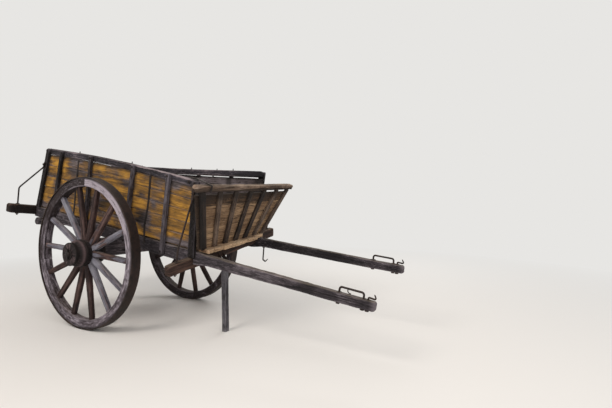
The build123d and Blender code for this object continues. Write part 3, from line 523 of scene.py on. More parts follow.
# %% Timber
def timber(corners, seed, edge=0.004, end_round=0.006, spacing=0.02, across=0.008, waves=0.0015,
           grooves=0.0006, checks=2, check_deep=0.004, ragged=0.0, wear=0.6, tint=None):
    """Weathered timber through stations of four corners each, shape (stations, 4, 3)."""
    corners = np.asarray(corners, float)
    places, reach, length = along_stations(corners, spacing, end_round)
    section = np.stack([np.interp(places, reach, column) for column in corners.reshape(-1, 12).T], -1)
    section = section.reshape(-1, 4, 3)
    edges = np.linalg.norm(section - np.roll(section, 1, axis=1), axis=2)
    wide, deep = (edges[:, 1] + edges[:, 3]) / 2, (edges[:, 0] + edges[:, 2]) / 2
    plan = section_plan(wide.mean(), deep.mean(), across)
    turn = np.arctan2(plan[:, NORMAL_Y], plan[:, NORMAL_X])[None, :]
    u = places[:, None]
    worn = noise(u * 9, turn * 1.3, 0.5, seed) + 0.5 * noise(u * 41, turn, 3.5, seed)
    radius = np.clip(edge * (1 + wear * worn), edge * 0.3, np.minimum(wide, deep)[:, None] * 0.48)
    x, y = rounded(plan, wide[:, None], deep[:, None], radius)
    v = round_run(x[0], y[0])
    around = v[:-1][None, :]
    bow = waves * noise(u * 1.7, 0.2, 5.1, seed)
    sag = waves * noise(u * 2.1, 0.7, 9.1, seed)
    from_end = np.minimum(places, length - places)
    pinned = np.clip(from_end / PINNED_LENGTH, 0, 1)[:, None]
    rng = np.random.default_rng(seed)
    shift = waves * 0.5 * noise(x * 11, y * 11, u * 2.3, seed)
    shift -= grooves * np.abs(noise(u * 5, around * 95, 0.0, seed + 1))
    shift -= drying_checks(rng, checks, check_deep, u, around, v[-1], length, across, seed)
    x = x + plan[:, NORMAL_X] * shift + bow * pinned
    y = y + plan[:, NORMAL_Y] * shift + sag * pinned
    inset = end_round * (1 - np.sqrt(np.clip(1 - (1 - np.clip(from_end / end_round, 0, 1)) ** 2, 0, 1)))
    x = with_caps(x * (1 - inset / (wide / 2))[:, None])
    y = with_caps(y * (1 - inset / (deep / 2))[:, None])
    rows = np.pad(np.arange(len(places)), len(CAPS), "edge")
    section, wide, deep = section[rows], wide[rows][:, None], deep[rows][:, None]
    p, q, c = (0.5 + x / wide)[..., None], (0.5 + y / deep)[..., None], section[:, None]
    rings = ((1 - p) * (1 - q) * c[:, :, 0] + p * (1 - q) * c[:, :, 1] + p * q * c[:, :, 2]
             + (1 - p) * q * c[:, :, 3])
    if ragged:
        rings = chewed(rings, x, y, section.mean(1), places[rows], length, ragged, seed)
    cap_u = max(wide.mean(), deep.mean()) * (1 - CAPS) / 2
    u_all = np.concatenate([places[0] - cap_u, places, places[-1] + cap_u[::-1]])
    part = skin(rings, u_all, v, rng.uniform(0, 40, 2))
    tail_mark = np.clip(1 - (length - places[rows]) / TAIL_LENGTH, 0, 1)
    part["edge"] = np.append(np.broadcast_to(plan[:, CORNER], x.shape), [0, 0])
    part["bare_and_highlight"] = np.append(np.broadcast_to(tail_mark[:, None], x.shape), [0, 1])
    part["tint"] = np.full(len(part["points"]), rng.uniform(0, 1) if tint is None else tint)
    part["side"] = [np.append(np.broadcast_to(plan[:, column], x.shape), [0, 0])
                    for column in (FLAT_X, FLAT_Y)]
    return part


def box_corners(start, end, wide_way, deep_way, wide, deep):
    """Two stations of a straight timber from its middle line and its section."""
    return np.array([[middle + wide_way * (a * wide / 2) + deep_way * (b * deep / 2)
                      for a, b in SQUARE] for middle in (start, end)])


print("points of a 1 m trial board:",
      len(timber(box_corners(0 * AHEAD, AHEAD, LEFT, UP, 0.15, 0.025), 1)["points"]))

# %% [markdown]
# ## Building blocks of a finish
# Every finish starts from the map along the grain, the place on the cart, and which way the
# surface faces. A node group could hold them, but a small class shows each step in one line.
# Its noises are stretched, so that a mark is long along the grain and narrow across it.


# %% Short words for shader nodes
class Shade:
    """Short ways to build one material's nodes."""

    def __init__(self, name):
        self.material = bpy.data.materials.new(name)
        self.material.use_nodes = True
        self.tree = self.material.node_tree
        self.shader = self.tree.nodes["Principled BSDF"]
        self.grain = add_node(self.tree, "UVMap", uv_map="grain").outputs["UV"]
        self.place = add_node(self.tree, "TexCoord").outputs["Object"]
        normal = add_node(self.tree, "NewGeometry").outputs["Normal"]
        self.up = add_node(self.tree, "SeparateXYZ", {"Vector": normal}).outputs["Z"]

    def mark(self, name):
        return add_node(self.tree, "Attribute", attribute_name=name).outputs["Fac"]

    def math(self, operation, first, second=0.0, third=0.0):
        inputs = {0: first, 1: second, 2: third}
        return add_node(self.tree, "Math", inputs, operation=operation).outputs[0]

    def times(self, first, second):
        return self.math("MULTIPLY", first, second)

    def plus(self, base, value, amount):
        """Base plus an amount of a value."""
        return self.math("MULTIPLY_ADD", value, amount, base)

    def sway(self, base, value, amount):
        """Base moved up and down by an amount of a value that lies round one half."""
        return self.plus(base, self.math("SUBTRACT", value, 0.5), amount)

    def noise(self, source, stretch, detail=4.0, rough=0.6, distortion=0.0):
        """Noise over a stretched source; its value lies round one half."""
        scaled = add_node(self.tree, "Mapping", {"Vector": source, "Scale": stretch})
        node = add_node(self.tree, "TexNoise", {"Vector": scaled.outputs[0], "Scale": 1.0, "Detail": detail,
                                                "Roughness": rough, "Distortion": distortion})
        return node.outputs["Fac"]

    def fade(self, value, low, high):
        """Smooth change from 0 at low to 1 at high."""
        inputs = {"Value": value, "From Min": low, "From Max": high}
        return add_node(self.tree, "MapRange", inputs, interpolation_type="SMOOTHSTEP").outputs[0]

    def blend(self, share, first, second):
        inputs = {"Factor": share, 6: first, 7: second}
        return add_node(self.tree, "Mix", inputs, data_type="RGBA").outputs[2]

    def ramp(self, value, stops):
        """Colour from a value through stops of (place, colour)."""
        node = add_node(self.tree, "ValToRGB", {"Fac": value})
        band = node.color_ramp
        while len(band.elements) < len(stops):
            band.elements.new(0.5)
        for element, (place, colour) in zip(band.elements, stops):
            element.position = place
            element.color = colour
        return node.outputs["Color"]

    def bump(self, height, strength, distance):
        inputs = {"Height": height, "Strength": strength, "Distance": distance}
        return add_node(self.tree, "Bump", inputs).outputs["Normal"]

    def finish(self, colour, rough, normal, metal=0.0, shine=0.3):
        links = self.tree.links
        links.new(colour, self.shader.inputs["Base Color"])
        links.new(rough, self.shader.inputs["Roughness"])
        links.new(normal, self.shader.inputs["Normal"])
        self.shader.inputs["Metallic"].default_value = metal
        self.shader.inputs["Specular IOR Level"].default_value = shine
        return self.material


DUST = linear(176, 160, 138)
print("dust in linear light:", [round(value, 2) for value in DUST])

# %% [markdown]
# ## Old wood and worn paint
# The cart's timber has gone grey in the sun and stayed brown where rain can't reach, and its
# yellow paint survives in patches. A picture of wood could be wrapped round each piece, but
# it would repeat, and it is only as sharp as it was taken. Noises are worked out afresh at
# any size. The layers go on in the order in which time laid them: the wood's own tones,
# what is left of the paint, bleached splinters, rubbed corners, drying cracks where a slow
# noise crosses its middle value, pale dust on what faces up, and last a blotched darkening:
# painted shade under rails and beside posts, and a few other dark patches.

# %% Wood
# How often a kind of mark repeats in a metre: along the grain, round the timber
STREAKS, FIBRES, SPLITS = (2.4, 62.0, 1.0), (11.0, 420.0, 1.0), (1.3, 26.0, 1.0)
BLOTCHES, SPLINTERS = (9.0, 24.0, 1.0), (26.0, 110.0, 1.0)
WASHES, BANDS, CHIPS = (1.6, 13.0, 1.0), (1.5, 8.0, 1.0), (5.0, 36.0, 1.0)
PATCHES = (3.1, 3.1, 3.1)
# Shares of black wood in a crack and under painted shade and dirt, and how far each hides what lies below
CRACK_TONE, SHADE_AND_DIRT_TONE, CRACK_HIDES, SHADE_AND_DIRT_HIDES = 0.35, 0.75, 0.8, 0.92


def coat_of_paint(shade, streak, blotch, patch, tint, tones):
    """Colour of the paint itself: streaked and blotched from its light tone to its deep one."""
    light, plain, deep = tones
    wash = shade.noise(shade.grain, WASHES, 5.0, 0.6, 0.3)
    tone = shade.plus(shade.times(tint, 0.12), streak, 0.3)
    tone = shade.plus(tone, blotch, 0.3)
    tone = shade.plus(tone, wash, 0.62)
    tone = shade.plus(tone, shade.math("SUBTRACT", 0.5, patch), 0.3)
    return shade.ramp(tone, ((0.55, linear(*deep)), (0.67, linear(*plain)), (0.79, linear(*light))))


def paint_left(shade, patch, edge, tint, kept, soft, follow):
    """Share of paint left: 1 where the wear, a sum of noises and marks, stays below a limit."""
    band = shade.noise(shade.grain, BANDS, 5.0, 0.6, 0.3)
    chips = shade.noise(shade.grain, CHIPS, 5.0, 0.65, 0.4)
    worn = shade.plus(shade.times(band, 0.6), chips, 0.4)
    worn = shade.sway(worn, patch, 0.8)
    worn = shade.plus(worn, edge, 0.07)
    worn = shade.plus(worn, shade.mark("bare_and_highlight"), 0.45)
    worn = shade.plus(worn, shade.math("SUBTRACT", 0.5, tint), follow)
    limit = 0.32 + kept * 0.4
    return shade.math("SUBTRACT", 1.0, shade.fade(worn, limit - soft, limit + soft))


def wood(name, dark, middle, pale, paint=None, kept=0.5, soft=0.08, follow=0.0, dusty=0.3,
         spread=0.35, cracks=1.0, mottle=0.3, flecks=0.4):
    """Weathered wood from three tones, with worn paint if given and a share of it kept.

    Paint fades out over a soft range, and follow says how far a piece's tint keeps its paint.
    Mottle is the strength of blotches as large as a hand, flecks of small sun-bleached splinters.
    """
    shade = Shade(name)
    streak = shade.noise(shade.grain, STREAKS, 5.0, 0.62, 0.3)
    fibre = shade.noise(shade.grain, FIBRES, 3.0, 0.6)
    patch = shade.noise(shade.place, PATCHES, 4.0, 0.55)
    split = shade.noise(shade.grain, SPLITS, 3.0, 0.55, 0.5)
    blotch = shade.noise(shade.grain, BLOTCHES, 4.0, 0.62, 0.4)
    tint, edge = shade.mark("tint"), shade.mark("edge")
    tone = shade.math("MULTIPLY_ADD", streak, 0.62, 0.19)
    for value, amount in ((patch, 0.75), (tint, spread), (fibre, 0.35), (blotch, mottle)):
        tone = shade.sway(tone, value, amount)
    pale_tone = linear(*pale)
    colour = shade.ramp(tone, ((0.30, linear(*dark)), (0.50, linear(*middle)), (0.74, pale_tone)))
    if paint is not None:
        coat = coat_of_paint(shade, streak, blotch, patch, tint, paint)
        colour = shade.blend(paint_left(shade, patch, edge, tint, kept, soft, follow), colour, coat)
    else:
        # Pale where marked bare: bare ends, and painted highlights on the side rails and the hubs
        colour = shade.blend(shade.times(shade.mark("bare_and_highlight"), 0.6), colour, pale_tone)
    fleck = shade.noise(shade.grain, SPLINTERS, 4.0, 0.65, 0.5)
    fleck = shade.times(shade.fade(fleck, 0.54, 0.66), shade.fade(patch, 0.30, 0.60))
    colour = shade.blend(shade.times(fleck, flecks), colour, pale_tone)
    pale_share = shade.times(shade.times(edge, 0.45), shade.fade(patch, 0.35, 0.65))
    colour = shade.blend(pale_share, colour, pale_tone)
    gap = shade.math("ABSOLUTE", shade.math("SUBTRACT", split, 0.5))
    crack = shade.math("SUBTRACT", 1.0, shade.fade(gap, 0.004, 0.022))
    crack = shade.times(crack, shade.fade(patch, 0.36, 0.56))
    colour = shade.blend(shade.times(crack, CRACK_HIDES * cracks), colour,
                         linear(*[value * CRACK_TONE for value in dark]))
    lying = shade.times(shade.fade(shade.up, 0.45, 0.95), shade.fade(streak, 0.3, 0.62))
    colour = shade.blend(shade.times(lying, dusty), colour, DUST)
    # Blotched darkening from the last mark: painted shade under rails and beside posts, and other dark
    # patches
    shade_and_dirt_share = shade.times(shade.mark("shade_and_dirt"), shade.fade(blotch, 0.1, 0.45))
    colour = shade.blend(shade.times(shade_and_dirt_share, SHADE_AND_DIRT_HIDES), colour,
                         linear(*[value * SHADE_AND_DIRT_TONE for value in dark]))
    height = shade.plus(shade.times(fibre, 0.45), streak, 0.7)
    height = shade.plus(height, crack, -0.9 * cracks)
    rough = shade.math("MULTIPLY_ADD", fibre, 0.2, 0.72)
    return shade.finish(colour, rough, shade.bump(height, 0.75, 0.004))


# %% [markdown]
# ## Forged iron gone brown
# The irons were hammered, left black and have rusted brown, with brighter corners where
# ropes and chains rub. A plain dark metal would look like plastic beside the old wood, so
# three sizes of noise make large stains, hammer scale and fine pits, and the pits go into
# the bump as well. The iron is only a third metal, because rust itself is not shiny.

# %% Iron
IRON_PATCHES, IRON_SCALE, IRON_PITS = (9.0, 9.0, 9.0), (38.0, 38.0, 38.0), (170.0, 170.0, 170.0)
RUSTED_METAL, BRIGHT_RUST = 0.35, 1.25


def iron(name, dark, rust, worn, rusty=0.5, dusty=0.28):
    """Forged iron gone brown, with patches of orange rust and rubbed metal on its corners."""
    shade = Shade(name)
    patch = shade.noise(shade.place, IRON_PATCHES, 6.0, 0.65)
    pits = shade.noise(shade.place, IRON_PITS, 3.0, 0.6)
    scale = shade.noise(shade.place, IRON_SCALE, 5.0, 0.6)
    mixed = shade.plus(shade.times(patch, 0.6), scale, 0.5)
    colour = shade.ramp(mixed, ((0.40, linear(*dark)), (0.66 - 0.12 * rusty, linear(*rust)),
                                (0.86, linear(*[min(255, v * BRIGHT_RUST) for v in rust]))))
    rub = shade.times(shade.mark("edge"), shade.fade(patch, 0.40, 0.62))
    colour = shade.blend(shade.times(rub, 0.6), colour, linear(*worn))
    lying = shade.times(shade.fade(shade.up, 0.6, 1.0), shade.fade(scale, 0.35, 0.6))
    colour = shade.blend(shade.times(lying, dusty), colour, DUST)
    height = shade.math("MULTIPLY_ADD", pits, 0.4, scale)
    rough = shade.math("MULTIPLY_ADD", scale, 0.25, 0.52)
    return shade.finish(colour, rough, shade.bump(height, 0.5, 0.003), RUSTED_METAL, 0.4)


# %% [markdown]
# ## The cart's own woods and irons
# Each kind of timber has aged in its own way: the yellow wall boards keep most of their
# paint, some spokes keep a grey-blue one, the front board is bare and brown, and posts and
# hubs are nearly black. Every board could have a material of its own, but then a change
# means many edits. One wood for each kind is enough, since the tint of a piece and the
# marks on it make the rest of the difference.

# %% Materials
FRAME_WOOD = wood("frame_wood", (22, 19, 22), (60, 54, 59), (128, 120, 126), dusty=0.25,
                  mottle=0.5, flecks=0.6)
POST_WOOD = wood("post_wood", (17, 12, 11), (34, 26, 24), (88, 83, 90), dusty=0.1, spread=0.45,
                 mottle=0.6, flecks=0.6)
END_WOOD = wood("end_wood", (20, 13, 12), (52, 36, 31), (94, 70, 60), dusty=0.2, spread=0.6)
RAIL_WOOD = wood("rail_wood", (26, 24, 28), (54, 51, 59), (142, 130, 134), dusty=0.06)
YELLOW_WOOD = wood("yellow_wood", (32, 26, 25), (68, 60, 61), (118, 110, 114),
                   paint=((176, 130, 50), (124, 90, 40), (76, 60, 38)), kept=0.67, soft=0.16,
                   dusty=0.1, cracks=0.8, flecks=0.15)
BROWN_WOOD = wood("brown_wood", (46, 33, 24), (102, 78, 57), (162, 134, 104), dusty=0.25)
BATTEN_WOOD = wood("batten_wood", (26, 20, 18), (62, 49, 42), (112, 95, 82), dusty=0.2)
PALE_WOOD = wood("pale_wood", (60, 46, 37), (122, 101, 85), (180, 161, 144), dusty=0.25, spread=0.1)
FLOOR_WOOD = wood("floor_wood", (66, 46, 34), (142, 110, 84), (206, 176, 142), dusty=0.4)
HUB_WOOD = wood("hub_wood", (9, 6, 7), (25, 17, 19), (108, 90, 92), dusty=0.02, flecks=0.1)
SPOKE_WOOD = wood("spoke_wood", (32, 20, 20), (64, 45, 42), (108, 86, 82),
                  paint=((124, 124, 134), (92, 91, 102), (50, 49, 58)), kept=0.45, follow=0.62,
                  dusty=0.12, mottle=0.5)
FELLOE_WOOD = wood("felloe_wood", (38, 29, 30), (84, 76, 83), (158, 150, 160), dusty=0.12,
                   spread=0.6, mottle=1.1, flecks=0.5)
PROP_WOOD = wood("prop_wood", (36, 34, 37), (86, 84, 90), (136, 134, 138), dusty=0.3)
FORGED_IRON = iron("forged_iron", (18, 14, 14), (42, 30, 26), (78, 68, 64), dusty=0.12)
STRAP_IRON = iron("strap_iron", (17, 14, 15), (36, 27, 24), (70, 63, 62), rusty=0.3, dusty=0.12)
HUB_IRON = iron("hub_iron", (11, 8, 9), (26, 18, 18), (50, 40, 37), rusty=0.3, dusty=0.03)
TYRE_IRON = iron("tyre_iron", (20, 15, 14), (44, 31, 27), (80, 68, 62), rusty=0.25, dusty=0.05)
print("materials", len(bpy.data.materials))

# %% [markdown]
# ## The two long beams
# Each long beam is the sill of the body at the rear and a shaft in front: one tree trunk,
# hewn square. Its outer line turns inward from the body's front end, and it gets thinner
# towards the tip. A sill and a shaft could be two boxes that meet, but on the real cart the
# wood runs through, so its line is given at closer stations where it bends.

# %% Long beams
BEAM_WIDE = 0.072
BEAM_LOW, BEAM_TOP = 0.128, 0.262
BEAM_REAR, BODY_FRONT, SHAFT_START, SHAFT_TIP = -1.532, 1.3, 1.43, 3.085
SHAFT_LOW, SHAFT_TOP, SHAFT_WIDE = 0.152, 0.25, 0.06
TIP_DEEP, TIP_ROUND, TIP_WORN, TIP_Y = 0.076, 0.024, 0.001, 0.405
TIP_MIDDLE = {"right": 0.208, "left": 0.172}


def shaft_share(s):
    return np.clip((s - BODY_FRONT) / (SHAFT_TIP - BODY_FRONT), 0, 1)


def shaft_middle_y(s):
    """Distance of the beam's middle from the cart's middle plane."""
    root = HALF_BODY - BEAM_WIDE / 2
    return root + (TIP_Y - root) * shaft_share(s)


def beam_edges(side, s):
    """Lower and upper edge of a long beam at s."""
    stations = [BEAM_REAR, BODY_FRONT, SHAFT_START, SHAFT_TIP - TIP_ROUND]
    middle = TIP_MIDDLE[side]
    low = np.interp(s, stations, [BEAM_LOW, BEAM_LOW, SHAFT_LOW, middle - TIP_DEEP / 2])
    top = np.interp(s, stations, [BEAM_TOP, BEAM_TOP, SHAFT_TOP, middle + TIP_DEEP / 2])
    return low, top


def side_section(side, s_low, s_top, low, top, inner, outer):
    """Four corners of a section on a side: low inside, low outside, top outside, top inside."""
    return np.stack([on_side(side, s_low, inner, low), on_side(side, s_low, outer, low),
                     on_side(side, s_top, outer, top), on_side(side, s_top, inner, top)], -2)


def add_long_beam(side, seed):
    s = np.concatenate([[BEAM_REAR], np.linspace(BODY_FRONT - 0.06, SHAFT_START + 0.06, 7),
                        np.linspace(SHAFT_START + 0.2, SHAFT_TIP - TIP_WORN, 8)])
    low, top = beam_edges(side, s)
    middle, half = shaft_middle_y(s), (BEAM_WIDE + (SHAFT_WIDE - BEAM_WIDE) * shaft_share(s)) / 2
    corners = side_section(side, s, s, low, top, middle - half, middle + half)
    part = timber(corners, seed, edge=0.011, end_round=0.022, spacing=0.018, across=0.007,
                  waves=0.004, grooves=0.0012, checks=26, check_deep=0.011, ragged=0.004, wear=0.8)
    put(f"long_beam_{side}", [part], FRAME_WOOD, "cart", [f"side_beam_{side}"])


add_long_beam("right", 11)
add_long_beam("left", 12)

# %% [markdown]
# ## Timbers that cross the cart
# Two cross-beams stick out beyond the body to carry its stays, two joists hold the floor, a
# round log hangs under the tail, and a heavy bed holds the axle. Since one side of the body
# hangs lower, a straight beam between them is skewed. It could be turned by an angle worked
# out beforehand, but it is surer to give the place where it meets each side and draw the
# straight line through both.

# %% Cross timbers
BODY_UP = up_at((PITCH["right"] + PITCH["left"]) / 2)
# Where each cross-beam meets the sides: places, then heights of its middle
FRONT_CROSS = ({"right": 1.24, "left": 1.31}, {"right": 0.142, "left": 0.246})
REAR_CROSS = (dict.fromkeys(SIDES, BEAM_REAR), dict.fromkeys(SIDES, 0.205))
FRONT_REACH, FRONT_CROSS_WIDE, FRONT_CROSS_DEEP = 0.78, 0.076, 0.104
REAR_REACH, REAR_CROSS_WIDE, REAR_CROSS_DEEP = 0.81, 0.1, 0.112
JOIST_STATIONS, JOIST_WIDE, JOIST_DEEP = (-0.82, 0.64), 0.09, 0.084
SEAT_GAP = 0.0003
LOG_S, LOG_R, LOG_HALF = -1.42, 0.048, 0.52
LOG_H = BEAM_LOW - LOG_R - SEAT_GAP
BED_WIDE, BED_TOP, BED_BOTTOM, BED_HALF = 0.118, 0.142, -0.062, 0.597


def across(stations, heights, y):
    """Point at y on a straight line that meets each side beam at its own place and height."""
    right = on_side("right", stations["right"], HALF_BODY, heights["right"])
    left = on_side("left", stations["left"], HALF_BODY, heights["left"])
    return right + (left - right) * ((y + HALF_BODY) / (2 * HALF_BODY))


def cross_section(start, end, wide, deep):
    """Stations of a straight timber across the cart."""
    way = unit(end - start)
    up = unit(BODY_UP - way * (BODY_UP @ way))
    return box_corners(start, end, np.cross(way, up), up, wide, deep)


def add_cross_beams():
    worn = {"edge": 0.013, "end_round": 0.03, "waves": 0.003, "grooves": 0.0012, "checks": 16,
            "check_deep": 0.012, "ragged": 0.008, "spacing": 0.016, "across": 0.007}
    for end, line, reach, wide, deep, seed, tint in (
            ("front", FRONT_CROSS, FRONT_REACH, FRONT_CROSS_WIDE, FRONT_CROSS_DEEP, 31, 0.4),
            ("rear", REAR_CROSS, REAR_REACH, REAR_CROSS_WIDE, REAR_CROSS_DEEP, 32, 0.15)):
        corners = cross_section(across(*line, -reach), across(*line, reach), wide, deep)
        put(f"{end}_beam", [timber(corners, seed, tint=tint, **worn)], END_WOOD, "cart",
            [f"cross_beam_{end}"])


def add_joists():
    parts = []
    inside = HALF_BODY - BEAM_WIDE
    for number, s in enumerate(JOIST_STATIONS):
        line = dict.fromkeys(SIDES, s), dict.fromkeys(SIDES, BEAM_TOP - JOIST_DEEP / 2)
        corners = cross_section(across(*line, -inside), across(*line, inside), JOIST_WIDE, JOIST_DEEP)
        parts.append(timber(corners, 41 + number, edge=0.006, waves=0.002, checks=6, check_deep=0.008))
    put("joist_timbers", parts, FRAME_WOOD, "cart", ["joists"])


def add_log():
    start, end = on_body(LOG_S, -LOG_HALF, LOG_H), on_body(LOG_S, LOG_HALF, LOG_H)
    log = timber(cross_section(start, end, 2 * LOG_R, 2 * LOG_R), 44, edge=0.046, end_round=0.01,
                 waves=0.005, grooves=0.0015, checks=14, check_deep=0.012, spacing=0.014, wear=0.1)
    put("tail_log", [log], FRAME_WOOD, "cart", ["rear_log"])


def add_axle_bed():
    middle = AXLE + UP * (BED_TOP + BED_BOTTOM) / 2
    corners = box_corners(middle - LEFT * BED_HALF, middle + LEFT * BED_HALF, AHEAD, UP,
                          BED_WIDE, BED_TOP - BED_BOTTOM)
    bed = timber(corners, 45, edge=0.009, end_round=0.012, waves=0.003, grooves=0.0012, checks=14,
                 check_deep=0.012, spacing=0.016)
    put("axle_bed_timber", [bed], FRAME_WOOD, "cart", ["axle_bed"])


add_cross_beams()
add_joists()
add_log()
add_axle_bed()

# %% [markdown]
# ## Floor planks
# Four planks run the length of the body. Their front ends show under the front board: the
# weather has broken and rounded them, each at a different length. One slab with grooves
# would do from above, but not from below or in front, so they are four timbers with ends
# that are more ragged than any other.

# %% Floor
FLOOR_THICK, FLOOR_REAR, PLANK_GAP = 0.04, -1.5, 0.005
FLOOR_SEAMS = (-0.4735, -0.259, 0.058, 0.321, 0.4735)
PLANK_FRONTS = (1.44, 1.455, 1.448, 1.408)


def add_floor_planks():
    parts = []
    for number, front in enumerate(PLANK_FRONTS):
        low = FLOOR_SEAMS[number] + (PLANK_GAP / 2 if number else 0)
        high = FLOOR_SEAMS[number + 1] - (PLANK_GAP / 2 if number < 3 else 0)
        thick = up_at(slope_at((low + high) / 2)) * FLOOR_THICK
        stations = []
        for s in (FLOOR_REAR, front):
            right, left = on_body(s, low, BEAM_TOP), on_body(s, high, BEAM_TOP)
            stations.append([right, left, left + thick, right + thick])
        parts.append(timber(stations, 51 + number, edge=0.006, end_round=0.014, across=0.010,
                            waves=0.002, grooves=0.0012, checks=14, check_deep=0.010,
                            ragged=0.022, wear=0.8))
    put("floor_boards", parts, FLOOR_WOOD, "cart", ["floor_planks"])


add_floor_planks()

# %% [markdown]
# ## Places on a side wall
# A side wall is stiff: boards, rail, uprights and corner posts lie in planes along its beam.
# Its ends lean, so a board's place is read between a bottom line and a top line. The rail
# runs on a slow curve, highest in the middle of the body. A Bezier curve with handles could
# follow it, but three measured points and the one parabola through them say the same.

# %% Side wall sizes and lines
BOARD_THICK, BOARD_COUNT, BOARD_GAP = 0.025, 5, 0.003
WALL_LOW, WALL_STEPS = 0.277, 15
RAIL_DEEP, RAIL_WIDE, RAIL_PAST = 0.074, 0.058, 0.066
# At the rear, in the middle and at the front: places of the wall's foot and of its top, the
# rail's height there, and the gap that has opened between the top board and the rail
WALL_BOTTOM = (-1.432, -0.1, 1.275)
WALL_TOP = {"right": (-1.316, -0.1, 1.19), "left": (-1.316, -0.1, 1.335)}
RAIL_TOP = {"right": (1.019, 1.01, 0.942), "left": (0.975, 0.986, 1.02)}
RAIL_GAP = {"right": (SEAT_GAP, SEAT_GAP, SEAT_GAP), "left": (SEAT_GAP, 0.004, 0.014)}
# Posts: place of the foot, place of the head, width along the wall, height of the foot
UPRIGHTS = ((-1.069, -0.995, 0.042, 0.15), (-0.425, -0.432, 0.042, 0.15),
            (0.29, 0.308, 0.042, 0.15), (0.857, 0.839, 0.046, 0.15))
REAR_POST = (-1.407, -1.282, 0.06, 0.262)
CORNER_POSTS = {"right": (REAR_POST, (1.258, 1.206, 0.08, 0.2)),
                "left": (REAR_POST, (1.258, 1.3, 0.08, 0.2))}
POST_THICK, POST_BELOW_RAIL = 0.036, 0.006
POST_LINE_LOW, POST_LINE_TOP = 0.277, 1.0
POST_OUT_Y = HALF_BODY + POST_THICK


def parabola(places, values, s):
    """Value at s of the one parabola through three points."""
    (a, b, c), (va, vb, vc) = places, values
    return (va * (s - b) * (s - c) / ((a - b) * (a - c)) + vb * (s - a) * (s - c) / ((b - a) * (b - c))
            + vc * (s - a) * (s - b) / ((c - a) * (c - b)))


def rail_height(side, s):
    return parabola(WALL_TOP[side], RAIL_TOP[side], s)


def wall_line(side, share):
    """Places s and heights h along a side wall, at a share of its height up to the rail."""
    bottom, top = np.array(WALL_BOTTOM), np.array(WALL_TOP[side])
    stations = bottom + (top - bottom) * share
    heights = WALL_LOW + (np.array(RAIL_TOP[side]) - RAIL_DEEP - WALL_LOW) * share
    s = np.linspace(stations[0], stations[2], WALL_STEPS)
    return s, parabola(stations, heights, s)


def lean_at(row, h):
    """Place along the beam of a post's middle line at a height."""
    foot_s, head_s = row[:2]
    return foot_s + (head_s - foot_s) * (h - POST_LINE_LOW) / (POST_LINE_TOP - POST_LINE_LOW)


def post_line(side, row):
    """Foot and head of an upright's middle line, from its lean."""
    head_h = rail_height(side, row[1]) - POST_BELOW_RAIL
    return [(lean_at(row, h), h) for h in (row[3], head_h)]


print("rail over the axle, right and left:", [round(rail_height(side, 0.0), 3) for side in SIDES])

# %% [markdown]
# ## Wear and painted shade on a wall
# Paint goes first where loads rub and where rain stands, and painted shade darkens the boards
# under the rail and beside each post. Such marks could be painted on by hand, but those
# strokes are lost when the shape changes. So each is a soft spot or band worked out from its
# place on the wall, and the finish reads it from the points.

# %% Marks on a wall
# Where a wall's paint is most worn or best kept: s, h, half length, half height, amount
WORN_SPOTS = ((0.5, 0.44, 0.13, 0.09, 1.0), (0.42, 0.70, 0.1, 0.05, 0.7), (0.98, 0.58, 0.14, 0.17, -0.7),
              (-1.4, 0.32, 0.12, 0.05, 1.1), (-0.8, 0.80, 0.14, 0.09, 0.5), (0.0, 0.85, 0.16, 0.05, 0.5),
              (0.16, 0.76, 0.14, 0.05, 0.6), (1.0, 0.30, 0.2, 0.03, 1.3), (0.08, 0.56, 0.12, 0.12, -0.5),
              (0.66, 0.62, 0.1, 0.05, 0.6), (-0.35, 0.45, 0.2, 0.1, 0.3), (-1.1, 0.6, 0.1, 0.1, 0.3))
# Painted shade: strength and half height of the band under the rail, strength and reach beside a post
RAIL_SHADE, RAIL_SHADE_HIGH, POST_SHADE, POST_SHADE_LONG = 0.8, 0.03, 0.75, 0.022


def beam_place(points, side):
    """Places (s, h) on one side of points of the frame."""
    along, up = (points - AXLE)[:, 0], (points - AXLE)[:, 2]
    cos, sin = math.cos(PITCH[side]), math.sin(PITCH[side])
    return along * cos - up * sin, along * sin + up * cos


def wear_at(part, side, spots):
    """Mark bare wood round some spots, or kept paint where the amount is negative."""
    s, h = beam_place(part["points"], side)
    for spot_s, spot_h, long, high, amount in spots:
        part["bare_and_highlight"] = part["bare_and_highlight"] + amount * bell(s - spot_s, long) * bell(h - spot_h, high)


def paint_wall_shade(part, side):
    """Painted shade under the rail and beside each post of a wall: sum of fading bands, at most 1."""
    s, h = beam_place(part["points"], side)
    shade_and_dirt = RAIL_SHADE * bell(rail_height(side, s) - RAIL_DEEP - h, RAIL_SHADE_HIGH)
    for row in UPRIGHTS + CORNER_POSTS[side]:
        off = np.maximum(np.abs(s - lean_at(row, h)) - row[2] / 2, 0)
        shade_and_dirt += POST_SHADE * bell(off, POST_SHADE_LONG)
    part["shade_and_dirt"] = np.clip(shade_and_dirt, 0, 1)


print("worn or kept spots on a wall:", len(WORN_SPOTS))

# %% [markdown]
# ## Boards, rail and posts of a wall
# Five boards are nailed inside the posts, a rail caps them, and the posts are bolted to the
# long beam. One sheet with painted seams could pass for the boards, but the gaps between
# them show light and shadow, so each is a timber of its own. The rail's top outer edge gets
# a painted highlight, drawn as pale bare wood, that starts over the axle and is full further forward.

# %% Side walls
BOARD_TINTS = (0.75, 0.4, 0.55, 0.35, 0.65)
# Painted highlight along the rail's top outer edge, as pale bare wood: strength, and the place where it is
# full
RAIL_EDGE_HIGHLIGHT, RAIL_HIGHLIGHT_START = 1.5, 0.4
# Reach of the darkening at the rail's rear and front ends
RAIL_REAR_DARK, RAIL_FRONT_DARK = 0.07, 0.08
INNER_FACE_BARE = 2.0


